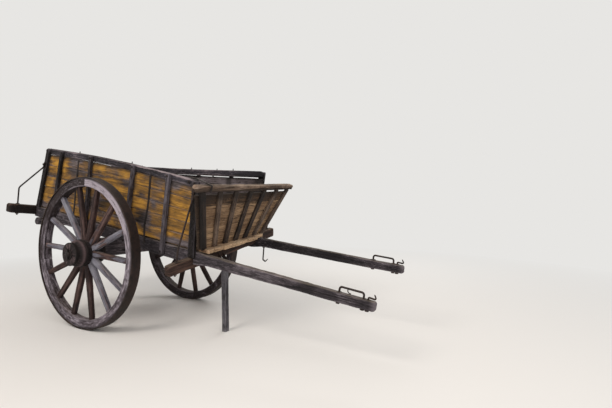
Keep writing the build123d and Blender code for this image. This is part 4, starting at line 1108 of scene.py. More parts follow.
def add_wall_boards(side, seed):
    boards = []
    for count in range(BOARD_COUNT):
        s_low, h_low = wall_line(side, count / BOARD_COUNT)
        s_top, h_top = wall_line(side, (count + 1) / BOARD_COUNT)
        h_low = h_low + (BOARD_GAP / 2 if count else 0)
        if count < BOARD_COUNT - 1:
            h_top = h_top - BOARD_GAP / 2
        else:
            h_top = h_top - parabola(WALL_TOP[side], RAIL_GAP[side], s_top)
        corners = side_section(side, s_low, s_top, h_low, h_top, HALF_BODY - BOARD_THICK, HALF_BODY)
        board = timber(corners, seed + count, end_round=0.004, spacing=0.022, across=0.009,
                       waves=0.0022, grooves=0.0009, checks=10, check_deep=0.006,
                       tint=BOARD_TINTS[count])
        board["bare_and_highlight"] += INNER_FACE_BARE * (board["side"][0] < -0.98)
        wear_at(board, side, WORN_SPOTS)
        paint_wall_shade(board, side)
        boards.append(board)
    put(f"wall_boards_{side}", boards, YELLOW_WOOD, "cart", [f"side_boards_{side}"])


def add_rail(side, seed):
    rear_end, front_end = WALL_TOP[side][0] - RAIL_PAST, WALL_TOP[side][2]
    s = np.linspace(rear_end, front_end, WALL_STEPS)
    top = rail_height(side, s)
    corners = side_section(side, s, s, top - RAIL_DEEP, top, HALF_BODY - RAIL_WIDE, HALF_BODY)
    rail = timber(corners, seed, edge=0.012, end_round=0.026, spacing=0.018, across=0.007,
                  waves=0.003, grooves=0.0012, checks=18, check_deep=0.009, wear=0.7)
    # Painted highlight on the top outer edge, drawn as pale bare wood
    on_edge = (rail["side"][0] > 0.7) & (rail["side"][1] > 0.9)
    rail_s = beam_place(rail["points"], side)[0]
    rail["bare_and_highlight"] = RAIL_EDGE_HIGHLIGHT * on_edge * np.clip(rail_s / RAIL_HIGHLIGHT_START, 0, 1)
    # Both ends of the rail are darker
    rail["shade_and_dirt"] = bell(rail_s - rear_end, RAIL_REAR_DARK) + bell(rail_s - front_end, RAIL_FRONT_DARK)
    put(f"rail_{side}", [rail], RAIL_WOOD, "cart", [f"top_rail_{side}"])


def level_section(side, s, wide, h, outer):
    """Section of an upright piece that stands against the outside of the boards."""
    return side_section(side, s - wide / 2, s + wide / 2, h, h, HALF_BODY, outer)[[0, 3, 2, 1]]


def add_posts(side, seed):
    worn = {"edge": 0.007, "end_round": 0.012, "spacing": 0.016, "across": 0.007, "waves": 0.0022,
            "grooves": 0.001, "checks": 7, "check_deep": 0.008}
    # The corner posts take the darkest tint, painted shade for the dark corners of the body
    for name, solids, rows, first, tint in (
            ("wall_uprights", "uprights", UPRIGHTS, seed, None),
            ("wall_corners", "corner_posts", CORNER_POSTS[side], seed + 10, 0.0)):
        posts = []
        for n, row in enumerate(rows):
            stations = [level_section(side, s, row[2], h, POST_OUT_Y) for s, h in post_line(side, row)]
            posts.append(timber(stations, first + n, tint=tint, **worn))
        put(f"{name}_{side}", posts, POST_WOOD, "cart", [f"{solids}_{side}"])


for side, seed in (("right", 100), ("left", 200)):
    add_wall_boards(side, seed)
    add_rail(side, seed + 10)
    add_posts(side, seed + 20)

# %% [markdown]
# ## Flat walls at the ends
# The front board flares forward and outward; the tail board stands between the side walls.
# Both are flat, on a body that is not. They could be drawn standing and then turned into
# place, but no single turn fits the racked body. So each is drawn in its own plane, with one
# unit vector across it, one up it and one out of it, found from its four corners.

# %% End wall planes
FLOOR_TOP = BEAM_TOP + FLOOR_THICK
SUNK = 0.008
FRONT_FOOT_S, FRONT_HEAD_S, FRONT_FOOT_HALF, FRONT_HEAD_HALF = 1.352, 1.502, 0.528, 0.812
FRONT_HEAD_H = {"right": 0.862, "left": 0.842}
TAIL_FOOT_S, TAIL_HEAD_S, TAIL_HALF = -1.392, -1.292, HALF_BODY - BOARD_THICK - SEAT_GAP
TAIL_HEAD_H = {"right": 0.9, "left": 0.872}


class EndWall:
    """Flat wall between four corners of the body, in metres in its own plane."""

    def __init__(self, foot_s, head_s, foot_half, head_half, head_h):
        foot_h = FLOOR_TOP - SUNK
        corners = [on_body(foot_s, -foot_half, foot_h), on_body(foot_s, foot_half, foot_h),
                   on_body(head_s, -head_half, head_h["right"]), on_body(head_s, head_half, head_h["left"])]
        self.x = unit(unit(corners[1] - corners[0]) + unit(corners[3] - corners[2]))
        self.z = unit(np.cross(self.x, corners[2] + corners[3] - corners[0] - corners[1]))
        self.y = np.cross(self.z, self.x)
        self.middle = sum(corners) / 4
        self.flat = [np.array([(c - self.middle) @ self.x, (c - self.middle) @ self.y]) for c in corners]

    def point(self, share_across, share_up, rise=0.0):
        foot = self.flat[0] + (self.flat[1] - self.flat[0]) * share_across
        head = self.flat[2] + (self.flat[3] - self.flat[2]) * share_across
        return foot + (head - foot) * share_up + np.array([0, rise])

    def world(self, flat, depth):
        return self.middle + self.x * flat[0] + self.y * flat[1] + self.z * depth

    def slab(self, low, top, back, front):
        """Section between two points of the plane, from one depth to another."""
        return [self.world(low, back), self.world(top, back), self.world(top, front), self.world(low, front)]

    def across_timber(self, low, top, trim, back, front):
        """Stations of a board that runs across the wall between two shares of its height."""
        return [self.slab(self.point(share, low), self.point(share, top, -trim), back, front)
                for share in (0.0, 1.0)]

    def edge_slope(self, share_up):
        right, left = self.point(0, share_up), self.point(1, share_up)
        return (left[1] - right[1]) / (left[0] - right[0])

    def up_timber(self, share, wide, back, front):
        """Stations of a batten that runs up the wall."""
        stations = []
        for share_up in (0.0, 1.0):
            middle = self.point(share, share_up)
            side = np.array([wide / 2, wide / 2 * self.edge_slope(share_up)])
            stations.append(self.slab(middle - side, middle + side, back, front))
        return stations


FRONT = EndWall(FRONT_FOOT_S, FRONT_HEAD_S, FRONT_FOOT_HALF, FRONT_HEAD_HALF, FRONT_HEAD_H)
TAIL = EndWall(TAIL_FOOT_S, TAIL_HEAD_S, TAIL_HALF, TAIL_HALF, TAIL_HEAD_H)
print("the front board leans", round(-math.degrees(math.asin(FRONT.z[2])), 1), "degrees forward")

# %% [markdown]
# ## Boards, battens and rail of the ends
# Boards run across each end wall and battens hold them together: seven outside the front
# board, three behind the tail board. The front board hangs from a round-edged rail, with a
# slot of light under it. Battens could be copied along by an Array modifier, but on the real
# wall they fan out, so each one is drawn between its own foot and head.

# %% End walls
FRONT_THICK, FRONT_BOARDS, FRONT_SLOT = 0.024, 5, 0.034
FRONT_RAIL_DEEP, FRONT_RAIL_WIDE, FRONT_RAIL_OVERHANG = 0.058, 0.066, 0.034
BATTEN_THICK = 0.026
# Share of the wall's width from the right, and width of the batten
FRONT_BATTENS = ((0.045, 0.07), (0.195, 0.058), (0.345, 0.062), (0.5, 0.064), (0.655, 0.062),
                 (0.81, 0.058), (0.955, 0.066))
TAIL_BOARDS, TAIL_BATTENS = 4, ((0.12, 0.07), (0.5, 0.07), (0.88, 0.07))
# Painted shade on the front boards: at their near ends, and in a band under the head rail
NEAR_SHADE, NEAR_SHADE_LONG = 1.3, 0.075
HEAD_SHADE, HEAD_SHADE_FROM, HEAD_SHADE_HIGH = 0.9, 0.03, 0.05
# Painted shade at the near end of the head rail, and how far along it reaches
RAIL_NEAR_SHADE, RAIL_NEAR_LONG = 0.75, 0.1


def board_rows(wall, count, slot):
    """Share of the wall's height at the lower and upper edge of each board."""
    full = 1 - slot / (wall.point(0.5, 1)[1] - wall.point(0.5, 0)[1])
    return [(full * n / count, full * (n + 1) / count, BOARD_GAP if n < count - 1 else 0.0)
            for n in range(count)]


def paint_front_shade(part):
    """Painted shade under the head rail and at the near ends of the boards, as fading bands."""
    off = part["points"] - FRONT.middle
    across_flat, up_flat = off @ FRONT.x, off @ FRONT.y
    foot, head = FRONT.point(0.5, 0)[1], FRONT.point(0.5, 1)[1]
    share = (up_flat - foot) / (head - foot)
    half = FRONT_FOOT_HALF + (FRONT_HEAD_HALF - FRONT_FOOT_HALF) * share
    shade_and_dirt = NEAR_SHADE * bell(half + across_flat, NEAR_SHADE_LONG)
    shade_and_dirt += HEAD_SHADE * bell(np.maximum(head - HEAD_SHADE_FROM - up_flat, 0), HEAD_SHADE_HIGH)
    part["shade_and_dirt"] = np.clip(shade_and_dirt, 0, 1)


def add_end_wall(end, wall, rows, board_depths, battens, batten_depths, seed, **worn):
    """Boards across an end wall and battens up it, each kind between two depths."""
    boards = [timber(wall.across_timber(low, top, trim, *board_depths), seed + n, **worn)
              for n, (low, top, trim) in enumerate(rows)]
    strips = [timber(wall.up_timber(share, wide, *batten_depths), seed + 10 + n, **worn)
              for n, (share, wide) in enumerate(battens)]
    if wall is FRONT:
        for part in boards + strips:
            paint_front_shade(part)
    put(f"{end}_planks", boards, BROWN_WOOD, "cart", [f"{end}_boards"])
    put(f"{end}_strips", strips, BATTEN_WOOD, "cart", [f"{end}_battens"])


def add_front_rail():
    slope = FRONT.edge_slope(1)
    back = (BATTEN_THICK - FRONT_THICK - FRONT_RAIL_WIDE) / 2
    stations = []
    for share, sign in ((0.0, -1), (1.0, 1)):
        low = FRONT.point(share, 1) + np.array([sign, sign * slope]) * FRONT_RAIL_OVERHANG
        stations.append(FRONT.slab(low, low + [0, FRONT_RAIL_DEEP], back, back + FRONT_RAIL_WIDE))
    rail = timber(stations, 320, edge=0.012, end_round=0.022, spacing=0.014, across=0.007,
                  waves=0.003, grooves=0.0014, checks=16, check_deep=0.010, ragged=0.006, wear=0.8)
    # Painted shade: the rail's lower half is darker, and so is its near end except on its top face
    below = np.clip(-rail["side"][0] * 1.4 - 0.1, 0, 1)
    near = bell((rail["points"] - FRONT.middle) @ FRONT.x + FRONT_HEAD_HALF, RAIL_NEAR_LONG)
    rail["shade_and_dirt"] = np.maximum(below, RAIL_NEAR_SHADE * near * (rail["side"][0] < 0.8))
    put("front_head", [rail], PALE_WOOD, "cart", ["front_rail"])


add_end_wall("front", FRONT, board_rows(FRONT, FRONT_BOARDS, FRONT_SLOT), (-FRONT_THICK, 0.0),
             FRONT_BATTENS, (0.0, BATTEN_THICK), 300, spacing=0.018, waves=0.002, grooves=0.001,
             checks=8, check_deep=0.006, ragged=0.004)
add_front_rail()
add_end_wall("tail", TAIL, board_rows(TAIL, TAIL_BOARDS, 0.0), (-BOARD_THICK, 0.0),
             TAIL_BATTENS, (-BOARD_THICK - BATTEN_THICK, -BOARD_THICK), 330, end_round=0.004,
             across=0.009, waves=0.002, grooves=0.001, checks=7, check_deep=0.006)

# %% [markdown]
# ## The hub
# A hub is turned from one short log, thickest where the spokes enter. Its grain runs along
# the axle, so it splits that way. The Screw modifier could spin its outline, but the cracks
# would have to be cut afterwards; here the radius at each turn and place is simply made
# smaller where a crack runs.

# %% Hub
HUB_SPOKE_R, HUB_OUT_R, HUB_IN_R = 0.138, 0.113, 0.116
HUB_OUT, HUB_IN, HUB_SEAT_HALF, HUB_SWELL = 0.173, -0.15, 0.072, 0.9
BAND_WIDE, SEAT_BAND_WIDE, BAND_THICK, BAND_LAP = 0.034, 0.022, 0.007, 0.004
# Painted highlight: a pale band round the hub's outer swell, its place and half width
HUB_HIGHLIGHT_RING, HUB_HIGHLIGHT_WIDE = 0.094, 0.016
HUB_AROUND, HUB_LUMPS, HUB_FIBRES = 132, 0.0015, 0.0012
HUB_CRACKS, HUB_CRACK_DEEP, HUB_CRACK_LONG, HUB_CRACK_TURN = 9, 0.006, 0.16, 0.028
# Inset of a hub's end and share of its radius there, from the bore outwards
HUB_END = ((0.0, 0.42), (0.0, 0.7), (0.0, 0.92), (0.002, 0.985), (0.006, 1.0))


def on_wheel(side, radius, turn, y):
    """Points round the axle: turn 0 is forward and grows upward, y points away from the cart."""
    radius, turn, y = np.broadcast_arrays(radius, turn, y)
    across_y = SIDES[side] * (WHEEL_Y + y)
    return np.stack([radius * np.cos(turn), across_y, radius * np.sin(turn)], -1) + AXLE


def three_point_arc(start, through, end, count):
    """Points of the circle through three points of a plane, whose centre is equally far from all."""
    spots = np.array([start, through, end])
    centre = np.linalg.solve(spots[1:] - spots[0], (spots[1:]**2 - spots[0]**2).sum(1) / 2)
    off = spots - centre
    turns = np.unwrap(np.arctan2(off[:, 1], off[:, 0]))
    turns = np.concatenate([np.linspace(turns[0], turns[1], count // 2)[:-1],
                            np.linspace(turns[1], turns[2], count // 2)])
    return centre + math.hypot(*off[0]) * np.stack([np.cos(turns), np.sin(turns)], -1)


def hub_profile():
    """Places (y, radius) along the hub, from its inner end to its outer end."""
    in_neck, out_neck = HUB_IN + BAND_WIDE, HUB_OUT - BAND_WIDE
    in_swell, out_swell = (r + (HUB_SPOKE_R - r) * HUB_SWELL for r in (HUB_IN_R, HUB_OUT_R))
    inner = three_point_arc((in_neck, HUB_IN_R), ((in_neck - HUB_SEAT_HALF) / 2, in_swell),
                            (-HUB_SEAT_HALF, HUB_SPOKE_R), 14)
    outer = three_point_arc((HUB_SEAT_HALF, HUB_SPOKE_R), ((HUB_SEAT_HALF + out_neck) / 2, out_swell),
                            (out_neck, HUB_OUT_R), 14)
    lead = [(HUB_IN + inset, HUB_IN_R * share) for inset, share in HUB_END]
    seat = [(y, HUB_SPOKE_R) for y in np.linspace(-HUB_SEAT_HALF, HUB_SEAT_HALF, 26)[1:-1]]
    tail = [(HUB_OUT - inset, HUB_OUT_R * share) for inset, share in HUB_END[::-1]]
    return np.array(lead + inner.tolist() + seat + outer.tolist() + tail)


def turned_hub(side, profile, seed):
    """Turned timber from a profile of (y, radius), with cracks that run along the axle."""
    turn = np.linspace(0, 2 * math.pi, HUB_AROUND + 1)[None, :-1]
    y, radius = profile[:, :1], profile[:, 1:]
    shrink = HUB_LUMPS * noise(np.cos(turn) * 3, np.sin(turn) * 3, y * 12, seed)
    shrink -= HUB_FIBRES * np.abs(noise(turn * 34, y * 6, 0.5, seed))
    rng = np.random.default_rng(seed)
    for _ in range(HUB_CRACKS):
        spot, middle = rng.uniform(0, 2 * math.pi), rng.uniform(y.min(), y.max())
        off = np.angle(np.exp(1j * (turn - spot - 0.05 * noise(y * 18, 0.0, spot, seed))))
        fade = np.clip(1 - np.abs(y - middle) / HUB_CRACK_LONG, 0, 1)
        shrink -= HUB_CRACK_DEEP * rng.uniform(0.5, 1) * fade * bell(off, HUB_CRACK_TURN)
    rings = on_wheel(side, radius + shrink * np.clip(radius / 0.1, 0, 1), turn, y)
    v = np.append(turn[0], 2 * math.pi) * profile[:, 1].mean()
    ends = on_wheel(side, 0.0, 0.0, np.array([y[0, 0], y[-1, 0]]))
    part = skin(rings, run_of(profile), v, rng.uniform(0, 40, 2), ends)
    # The pale band round the hub, marked as bare wood, is a painted highlight
    pale_share = bell(profile[:, 0] - HUB_HIGHLIGHT_RING, HUB_HIGHLIGHT_WIDE)
    part["bare_and_highlight"] = np.append(np.repeat(pale_share, HUB_AROUND), [0, 0])
    return part


def add_hub(side, seed):
    put(f"hub_wood_{side}", [turned_hub(side, hub_profile(), seed)], HUB_WOOD, f"wheel_{side}",
        [f"hub_{side}"])


print("places along the hub:", len(hub_profile()))

# %% [markdown]
# ## Hoops and tyres
# Four iron bands keep the hub from splitting, and the tyre, shrunk on while it was hot,
# holds the whole wheel together. A torus with a square section would look cast. So a
# rounded section is carried once round the axle, and its outer face is dented inward by
# noise, as by stones.

# %% Iron hoops
TYRE_WIDTH, TYRE_THICK, TYRE_STEPS, TYRE_EDGE, TYRE_DENTS = 0.105, 0.012, 300, 0.0035, 0.0009
RIM_OUT_R = WHEEL_R - TYRE_THICK


def hoop(side, inner, outer, low, high, seed, steps, edge=0.002, dents=0.0006, spacing=0.012):
    """Iron band round the axle, of rectangular section with rubbed corners."""
    plan = section_plan(high - low, outer - inner, spacing)
    turn = np.linspace(0, 2 * math.pi, steps + 1)
    x, y = rounded(plan, high - low, outer - inner, np.full((steps, 1), edge))
    mean = (inner + outer) / 2
    around = turn[:-1, None] * mean
    dent = dents * (noise(around * 22, x * 30, 0.5, seed) + noise(around * 70, x * 60, 4.5, seed) - 0.6)
    dent = np.where(plan[:, NORMAL_Y] > 0.3, np.minimum(dent, 0), 0)
    rings = on_wheel(side, mean + y + dent, turn[:-1, None], (low + high) / 2 + x)
    rows = np.arange(steps)
    quads, quad_map = ring_faces(rows, np.roll(rows, -1), turn * mean, round_run(x[0], y[0]))
    return {"points": rings.reshape(-1, 3), "quads": quads, "quad_map": quad_map + [seed * 0.37, 0.0],
            "fans": np.zeros((0, 3), int), "fan_map": np.zeros((0, 3, 2)),
            "edge": np.broadcast_to(plan[:, CORNER], x.shape).ravel()}


def add_hub_hoops(side, seed):
    bands = []
    # Radius of the wood under the band, its place from and to along the hub, and steps round it
    for number, (radius, low, high, steps) in enumerate((
            (HUB_IN_R, HUB_IN, HUB_IN + BAND_WIDE, 96),
            (HUB_OUT_R, HUB_OUT - BAND_WIDE, HUB_OUT, 96),
            (HUB_SPOKE_R, -HUB_SEAT_HALF, -HUB_SEAT_HALF + SEAT_BAND_WIDE, 110),
            (HUB_SPOKE_R, HUB_SEAT_HALF - SEAT_BAND_WIDE, HUB_SEAT_HALF, 110))):
        bands.append(hoop(side, radius - BAND_LAP, radius + BAND_THICK, low, high, seed + 1 + number, steps))
    put(f"hub_hoops_{side}", bands, HUB_IRON, f"wheel_{side}", [f"hub_bands_{side}"])


def add_tyre(side, seed):
    tyre = hoop(side, RIM_OUT_R, WHEEL_R, -TYRE_WIDTH / 2, TYRE_WIDTH / 2, seed + 50, TYRE_STEPS,
                TYRE_EDGE, TYRE_DENTS)
    put(f"tyre_hoop_{side}", [tyre], TYRE_IRON, f"wheel_{side}", [f"tyre_{side}"])


print("radius of the rim under the tyre:", round(RIM_OUT_R, 3), "m")

# %% [markdown]
# ## Spokes and felloes
# Seven felloes make the rim, and each carries two spokes. A spoke was shaved by hand: square
# and thick at the hub, slimmer and rounder outwards, and dished, so that it leans out. One
# spoke could be copied fourteen times round the axle, but no two have worn alike, so each
# is a timber with its own seed and tint. Some, most of them on the right wheel, still have
# grey-blue paint.

# %% Spokes and felloes
SPOKE_COUNT, FIRST_SPOKE = 14, math.radians(21.8)
SPOKE_ROOT, SPOKE_TIP = (0.066, 0.058), (0.052, 0.046)
SPOKE_TENON, SPOKE_DISH = 0.02, 0.016
SPOKE_SHARES, SPOKE_SWELLS = (0.0, 0.12, 0.3, 0.7, 1.0), (1.0, 1.0, 0.965, 0.985, 1.0)
# From the first spoke on: 1 for spokes that keep their grey-blue paint, 0 for bare brown ones
SPOKE_TINTS = {"right": (0.6, 0.45, 0.12, 0.02, 0.95, 1.0, 0.9, 0.2, 0.1, 0.15, 0.05, 0.95, 1.0, 0.4),
               "left": (0.3, 0.1, 0.2, 0.05, 0.5, 0.1, 0.3, 0.15, 0.05, 0.1, 0.2, 0.1, 0.3, 0.0)}
FELLOE_TINTS = {"right": (0.72, 1.0, 0.0, 0.32, 0.45, 0.5, 0.58),
                "left": (0.12, 0.3, 0.2, 0.05, 0.1, 0.0, 0.08)}
FELLOE_DEPTH, FELLOE_WIDTH, FELLOE_COUNT, FELLOE_GAP = 0.088, 0.092, 7, 0.002
FELLOE_STATIONS, FELLOE_END_BARE, FELLOE_OUTER_DARK = 29, 0.15, 0.8
RIM_IN_R = RIM_OUT_R - FELLOE_DEPTH


def spoke_corners(side, turn):
    """Stations of one spoke from inside the hub to inside the rim."""
    sideways, outward = np.array([-math.sin(turn), 0, math.cos(turn)]), LEFT
    stations = []
    for share, full in zip(SPOKE_SHARES, SPOKE_SWELLS):
        radius = HUB_SPOKE_R - SPOKE_TENON + (RIM_IN_R - HUB_SPOKE_R + 2 * SPOKE_TENON) * share
        wide, thick = ((root + (tip - root) * share) * full / 2 for root, tip in zip(SPOKE_ROOT, SPOKE_TIP))
        middle = on_wheel(side, radius, turn, -SPOKE_DISH * (1 - share))
        stations.append([middle + sideways * a * wide + outward * b * thick for a, b in SQUARE])
    return stations


def felloe_corners(side, lead):
    """Stations of one felloe along its arc."""
    half_turn = math.pi / FELLOE_COUNT - FELLOE_GAP / 2 / RIM_OUT_R
    half = FELLOE_WIDTH / 2
    return [[on_wheel(side, radius, turn, y)
             for radius, y in ((RIM_IN_R, -half), (RIM_IN_R, half), (RIM_OUT_R, half), (RIM_OUT_R, -half))]
            for turn in np.linspace(lead - half_turn, lead + half_turn, FELLOE_STATIONS)]


def add_rim(side, seed):
    step = 2 * math.pi / SPOKE_COUNT
    worn = {"spacing": 0.018, "across": 0.007, "grooves": 0.0009, "wear": 0.25}
    spokes = [timber(spoke_corners(side, FIRST_SPOKE + step * n), seed + 10 + n, tint=tint, edge=0.012,
                     end_round=0.004, waves=0.0022, checks=5, check_deep=0.006, **worn)
              for n, tint in enumerate(SPOKE_TINTS[side])]
    put(f"spoke_set_{side}", spokes, SPOKE_WOOD, f"wheel_{side}", [f"spokes_{side}"])
    felloes = [timber(felloe_corners(side, FIRST_SPOKE + step * (2 * n - 0.5)), seed + 30 + n, tint=tint,
                      edge=0.007, end_round=0.003, waves=0.0018, checks=9, check_deep=0.008, **worn)
               for n, tint in enumerate(FELLOE_TINTS[side])]
    for felloe in felloes:
        felloe["bare_and_highlight"] *= FELLOE_END_BARE
        # The outer part of each felloe, next to the tyre, is darker
        felloe["shade_and_dirt"] = FELLOE_OUTER_DARK * np.clip(felloe["side"][1] - 0.6, 0, 0.4) / 0.4
    put(f"rim_{side}", felloes, FELLOE_WOOD, f"wheel_{side}", [f"felloes_{side}"])


print("from spoke to spoke:", round(360 / SPOKE_COUNT, 1), "degrees")

# %% Both wheels
for side, seed in (("right", 400), ("left", 500)):
    add_hub(side, seed)
    add_hub_hoops(side, seed)
    add_rim(side, seed)
    add_tyre(side, seed)

# %% [markdown]
# ## Forged rods
# Stays, staples and hooks are round iron bent on a small radius. A curve with a bevel would
# make such a rod, but not hammer or flatten it. So each corner of a line is replaced by an
# arc that touches both legs, and a ring is carried along the line without twist: at each
# step the old side vector loses its part along the new direction.

# %% Rods
def bent_line(points, bend, spacing):
    """Points along a line whose inner corners are arcs of one radius."""
    points = [np.asarray(p, float) for p in points]
    path = [points[0]]
    for before, corner, after in zip(points, points[1:], points[2:]):
        back, ahead = unit(before - corner), unit(after - corner)
        half = math.acos(np.clip(back @ ahead, -1, 1)) / 2
        centre = corner + unit(back + ahead) * bend / math.sin(half)
        start, stop = corner + back * bend / math.tan(half), corner + ahead * bend / math.tan(half)
        spin = math.pi - 2 * half
        steps = max(4, round(spin * bend / spacing))
        for share in np.arange(steps + 1) / steps:
            arc = math.sin((1 - share) * spin) * (start - centre) + math.sin(share * spin) * (stop - centre)
            path.append(centre + arc / math.sin(spin))
    path.append(points[-1])
    dense = [path[0]]
    for before, after in zip(path, path[1:]):
        steps = max(1, math.ceil(np.linalg.norm(after - before) / (spacing * 4)))
        dense += [before + (after - before) * k / steps for k in range(1, steps + 1)]
    return np.array(dense)


def drawn_out(path, share, tip):
    """Scale along a path: 1 for a share of its points, then evenly to the tip's scale."""
    return np.interp(np.arange(len(path)), [0, len(path) * share, len(path) - 1], [1, 1, tip])


def rod(path, radius, seed, around=14, forged=0.05, taper=1.0, spread=1.0):
    """Round iron along a line of points; taper scales its radius, spread flattens it."""
    path = np.asarray(path, float)
    ways = np.gradient(path, axis=0)
    ways /= np.linalg.norm(ways, axis=1)[:, None]
    side = np.cross(ways[0], UP if abs(ways[0][2]) < 0.9 else LEFT)
    sides = []
    for way in ways:
        side = unit(side - way * (side @ way))
        sides.append(side)
    sides = np.array(sides)
    ups = np.cross(ways, sides)
    reach = run_of(path)
    turn = np.linspace(0, 2 * math.pi, around + 1)[None, :-1]
    scale, flat = (np.broadcast_to(np.asarray(x, float), len(path))[:, None] for x in (taper, spread))
    hammered = 0.5 + 0.5 * noise(np.cos(turn) * 1.2, np.sin(turn) * 1.2, reach[:, None] * 45, seed)
    size = radius * scale * (1 - forged * hammered)
    rings = (path[:, None] + sides[:, None] * (np.cos(turn) * size * flat)[..., None]
             + ups[:, None] * (np.sin(turn) * size / flat)[..., None])
    # Rounded ends: share of the ring's radius, and how far each step stands out
    narrow, out = np.array([[0.35, 0.75, 0.94], [0.32, 0.22, 0.1]])[..., None, None]
    head = path[0] + (rings[0] - path[0]) * narrow - ways[0] * radius * scale[0] * out
    tail = path[-1] + (rings[-1] - path[-1]) * narrow[::-1] + ways[-1] * radius * scale[-1] * out[::-1]
    rings = np.concatenate([head, rings, tail])
    beyond = np.array([0.3, 0.6, 0.9]) * radius
    u = np.concatenate([reach[0] - beyond[::-1], reach, reach[-1] + beyond])
    part = skin(rings, u, np.append(turn[0], 2 * math.pi) * radius, np.array([seed * 0.61, 0.3]))
    part["edge"] = np.full(len(part["points"]), 0.35)
    return part


print("points of a straight rod:", len(rod([0 * UP, UP], 0.01, 1)["points"]))

# %% [markdown]
# ## Nuts, bolts and studs
# The nuts are hand-cut squares with broken corners, and the bolt ends stand out of them
# unevenly. A cube with a bevel would do for one nut, but each of these is turned a little
# differently: the distance from its middle to its flat side is worked out for each turn.

# %% Nuts, bolts and studs
NUT_SIDES, FACET_STEPS, NUT_CORNER = 4, 6, 1.22
# Share of a nut's width and of its thickness, from face to face
NUT_LEVELS = np.array([(0.5, 0.0), (0.93, 0.0), (1.0, 0.14), (1.0, 0.5), (1.0, 0.86), (0.93, 1.0),
                       (0.5, 1.0)])


def nut(middle, way, across_flats, thick, seed):
    """Flat-sided forged nut or washer plate, its middle and the way its axis points."""
    first = unit(np.cross(way, LEFT if abs(way[1]) < 0.9 else AHEAD))
    second = np.cross(way, first)
    around = NUT_SIDES * FACET_STEPS
    turn = np.linspace(0, 2 * math.pi, around + 1)
    wedge = 2 * math.pi / NUT_SIDES
    flat = (across_flats / 2) / np.cos((turn[:-1] + 0.37 * seed) % wedge - wedge / 2)
    flat = np.minimum(flat, across_flats / 2 * NUT_CORNER)
    wide, high = NUT_LEVELS[:, 0, None, None], NUT_LEVELS[:, 1, None, None]
    circle = first * np.cos(turn[:-1, None]) + second * np.sin(turn[:-1, None])
    rings = middle + way * ((high - 0.5) * thick) + circle * (flat[:, None] * wide)
    u = NUT_LEVELS[:, 1] * thick + NUT_LEVELS[:, 0] * 0.01
    part = skin(rings, u, turn * across_flats / 2, np.array([seed * 0.7, 0.0]))
    pale_share = np.abs(NUT_LEVELS[:, 0] - 0.965) < 0.05
    part["edge"] = np.append(np.repeat(pale_share.astype(float), around), [0, 0])
    return part


def bolt_end(place, way, radius, stand, seed):
    """Round bolt end that stands out of a surface."""
    return rod(place + np.outer((-0.004, 0, stand * 0.6, stand), way), radius, seed, 12, 0.06,
               taper=(1, 1, 1, 0.9))


def bolt(place, way, across_flats, thick, radius, stand, seed):
    """Nut against a surface with the end of its bolt standing out."""
    return [nut(place + way * thick / 2, way, across_flats, thick, seed),
            bolt_end(place + way * thick, way, radius, stand, seed + 1)]


def stud(place, way, radius, rise, seed):
    """Low domed head of a nail or a rivet."""
    return rod(place + np.outer((-0.002, rise * 0.25, rise * 0.6, rise * 0.8), way), radius, seed, 10, 0.12,
               taper=(1, 1, 0.82, 0.5))


def put_irons(name, parts, nodes=(), metal=FORGED_IRON):
    put(name, parts, metal, "cart", nodes)


print("points of a nut:", len(nut(0 * UP, UP, 0.03, 0.01, 1)["points"]))

# %% [markdown]
# ## Stays, staples and hooks
# A stay runs from each end of a cross-beam up to the head of a corner post, where it is
# beaten flat and bolted. Near its tip each shaft has a staple and a hook, and a longer hook
# hangs under the left one. Straight pins and part of a torus could make a hook, but a forged
# bend is one with its legs, so each is a single bent rod.

# %% Corner stays
STAY_R, STAY_HEAD_H = 0.009, 0.838
STAY_FOOT_Y, STAY_KNEE_H = (0.7, 0.67), (0.264, 0.176)
STAY_BEND_R, STAY_FLAT, STAY_BELOW, STAY_BOLT_BELOW = 0.06, 0.058, 0.024, 0.024
# Bolts: width and thickness of the nut, radius of the bolt, and how far it stands out
FOOT_BOLT, HEAD_BOLT = (0.03, 0.012, 0.007, 0.008), (0.024, 0.008, 0.005, 0.004)


def add_stays():
    parts = []
    against = POST_OUT_Y + STAY_R + SEAT_GAP
    turn_h, bolt_h = STAY_HEAD_H - STAY_FLAT, STAY_HEAD_H - STAY_BOLT_BELOW
    plans = ((REAR_CROSS, REAR_CROSS_DEEP), (FRONT_CROSS, FRONT_CROSS_DEEP))
    for number, (cross, deep) in enumerate(plans):
        for side, sign in SIDES.items():
            up, post = up_at(PITCH[side]), CORNER_POSTS[side][number]
            foot = across(*cross, sign * STAY_FOOT_Y[number])
            corners = [foot - up * (deep / 2 + STAY_BELOW), foot + up * STAY_KNEE_H[number],
                       on_side(side, lean_at(post, turn_h), against, turn_h),
                       on_side(side, lean_at(post, STAY_HEAD_H), against, STAY_HEAD_H)]
            path = bent_line(corners, STAY_BEND_R, 0.006)
            seed = 600 + number * 10 + (sign > 0)
            reach = run_of(path)
            flat = 1 + 0.35 * np.clip((reach - reach[-1] + STAY_FLAT) / STAY_FLAT, 0, 1)
            parts.append(rod(path, STAY_R, seed, 14, 0.06, spread=flat))
            parts += bolt(foot - up * deep / 2, -up, *FOOT_BOLT, seed + 2)
            parts.append(nut(foot + up * (deep / 2 + 0.004), up, 0.034, 0.008, seed + 4))
            spot = on_side(side, lean_at(post, bolt_h), against + 0.006, bolt_h)
            parts += bolt(spot, LEFT * sign, *HEAD_BOLT, seed + 6)
    put_irons("stay_irons", parts, ["corner_stays"])


add_stays()

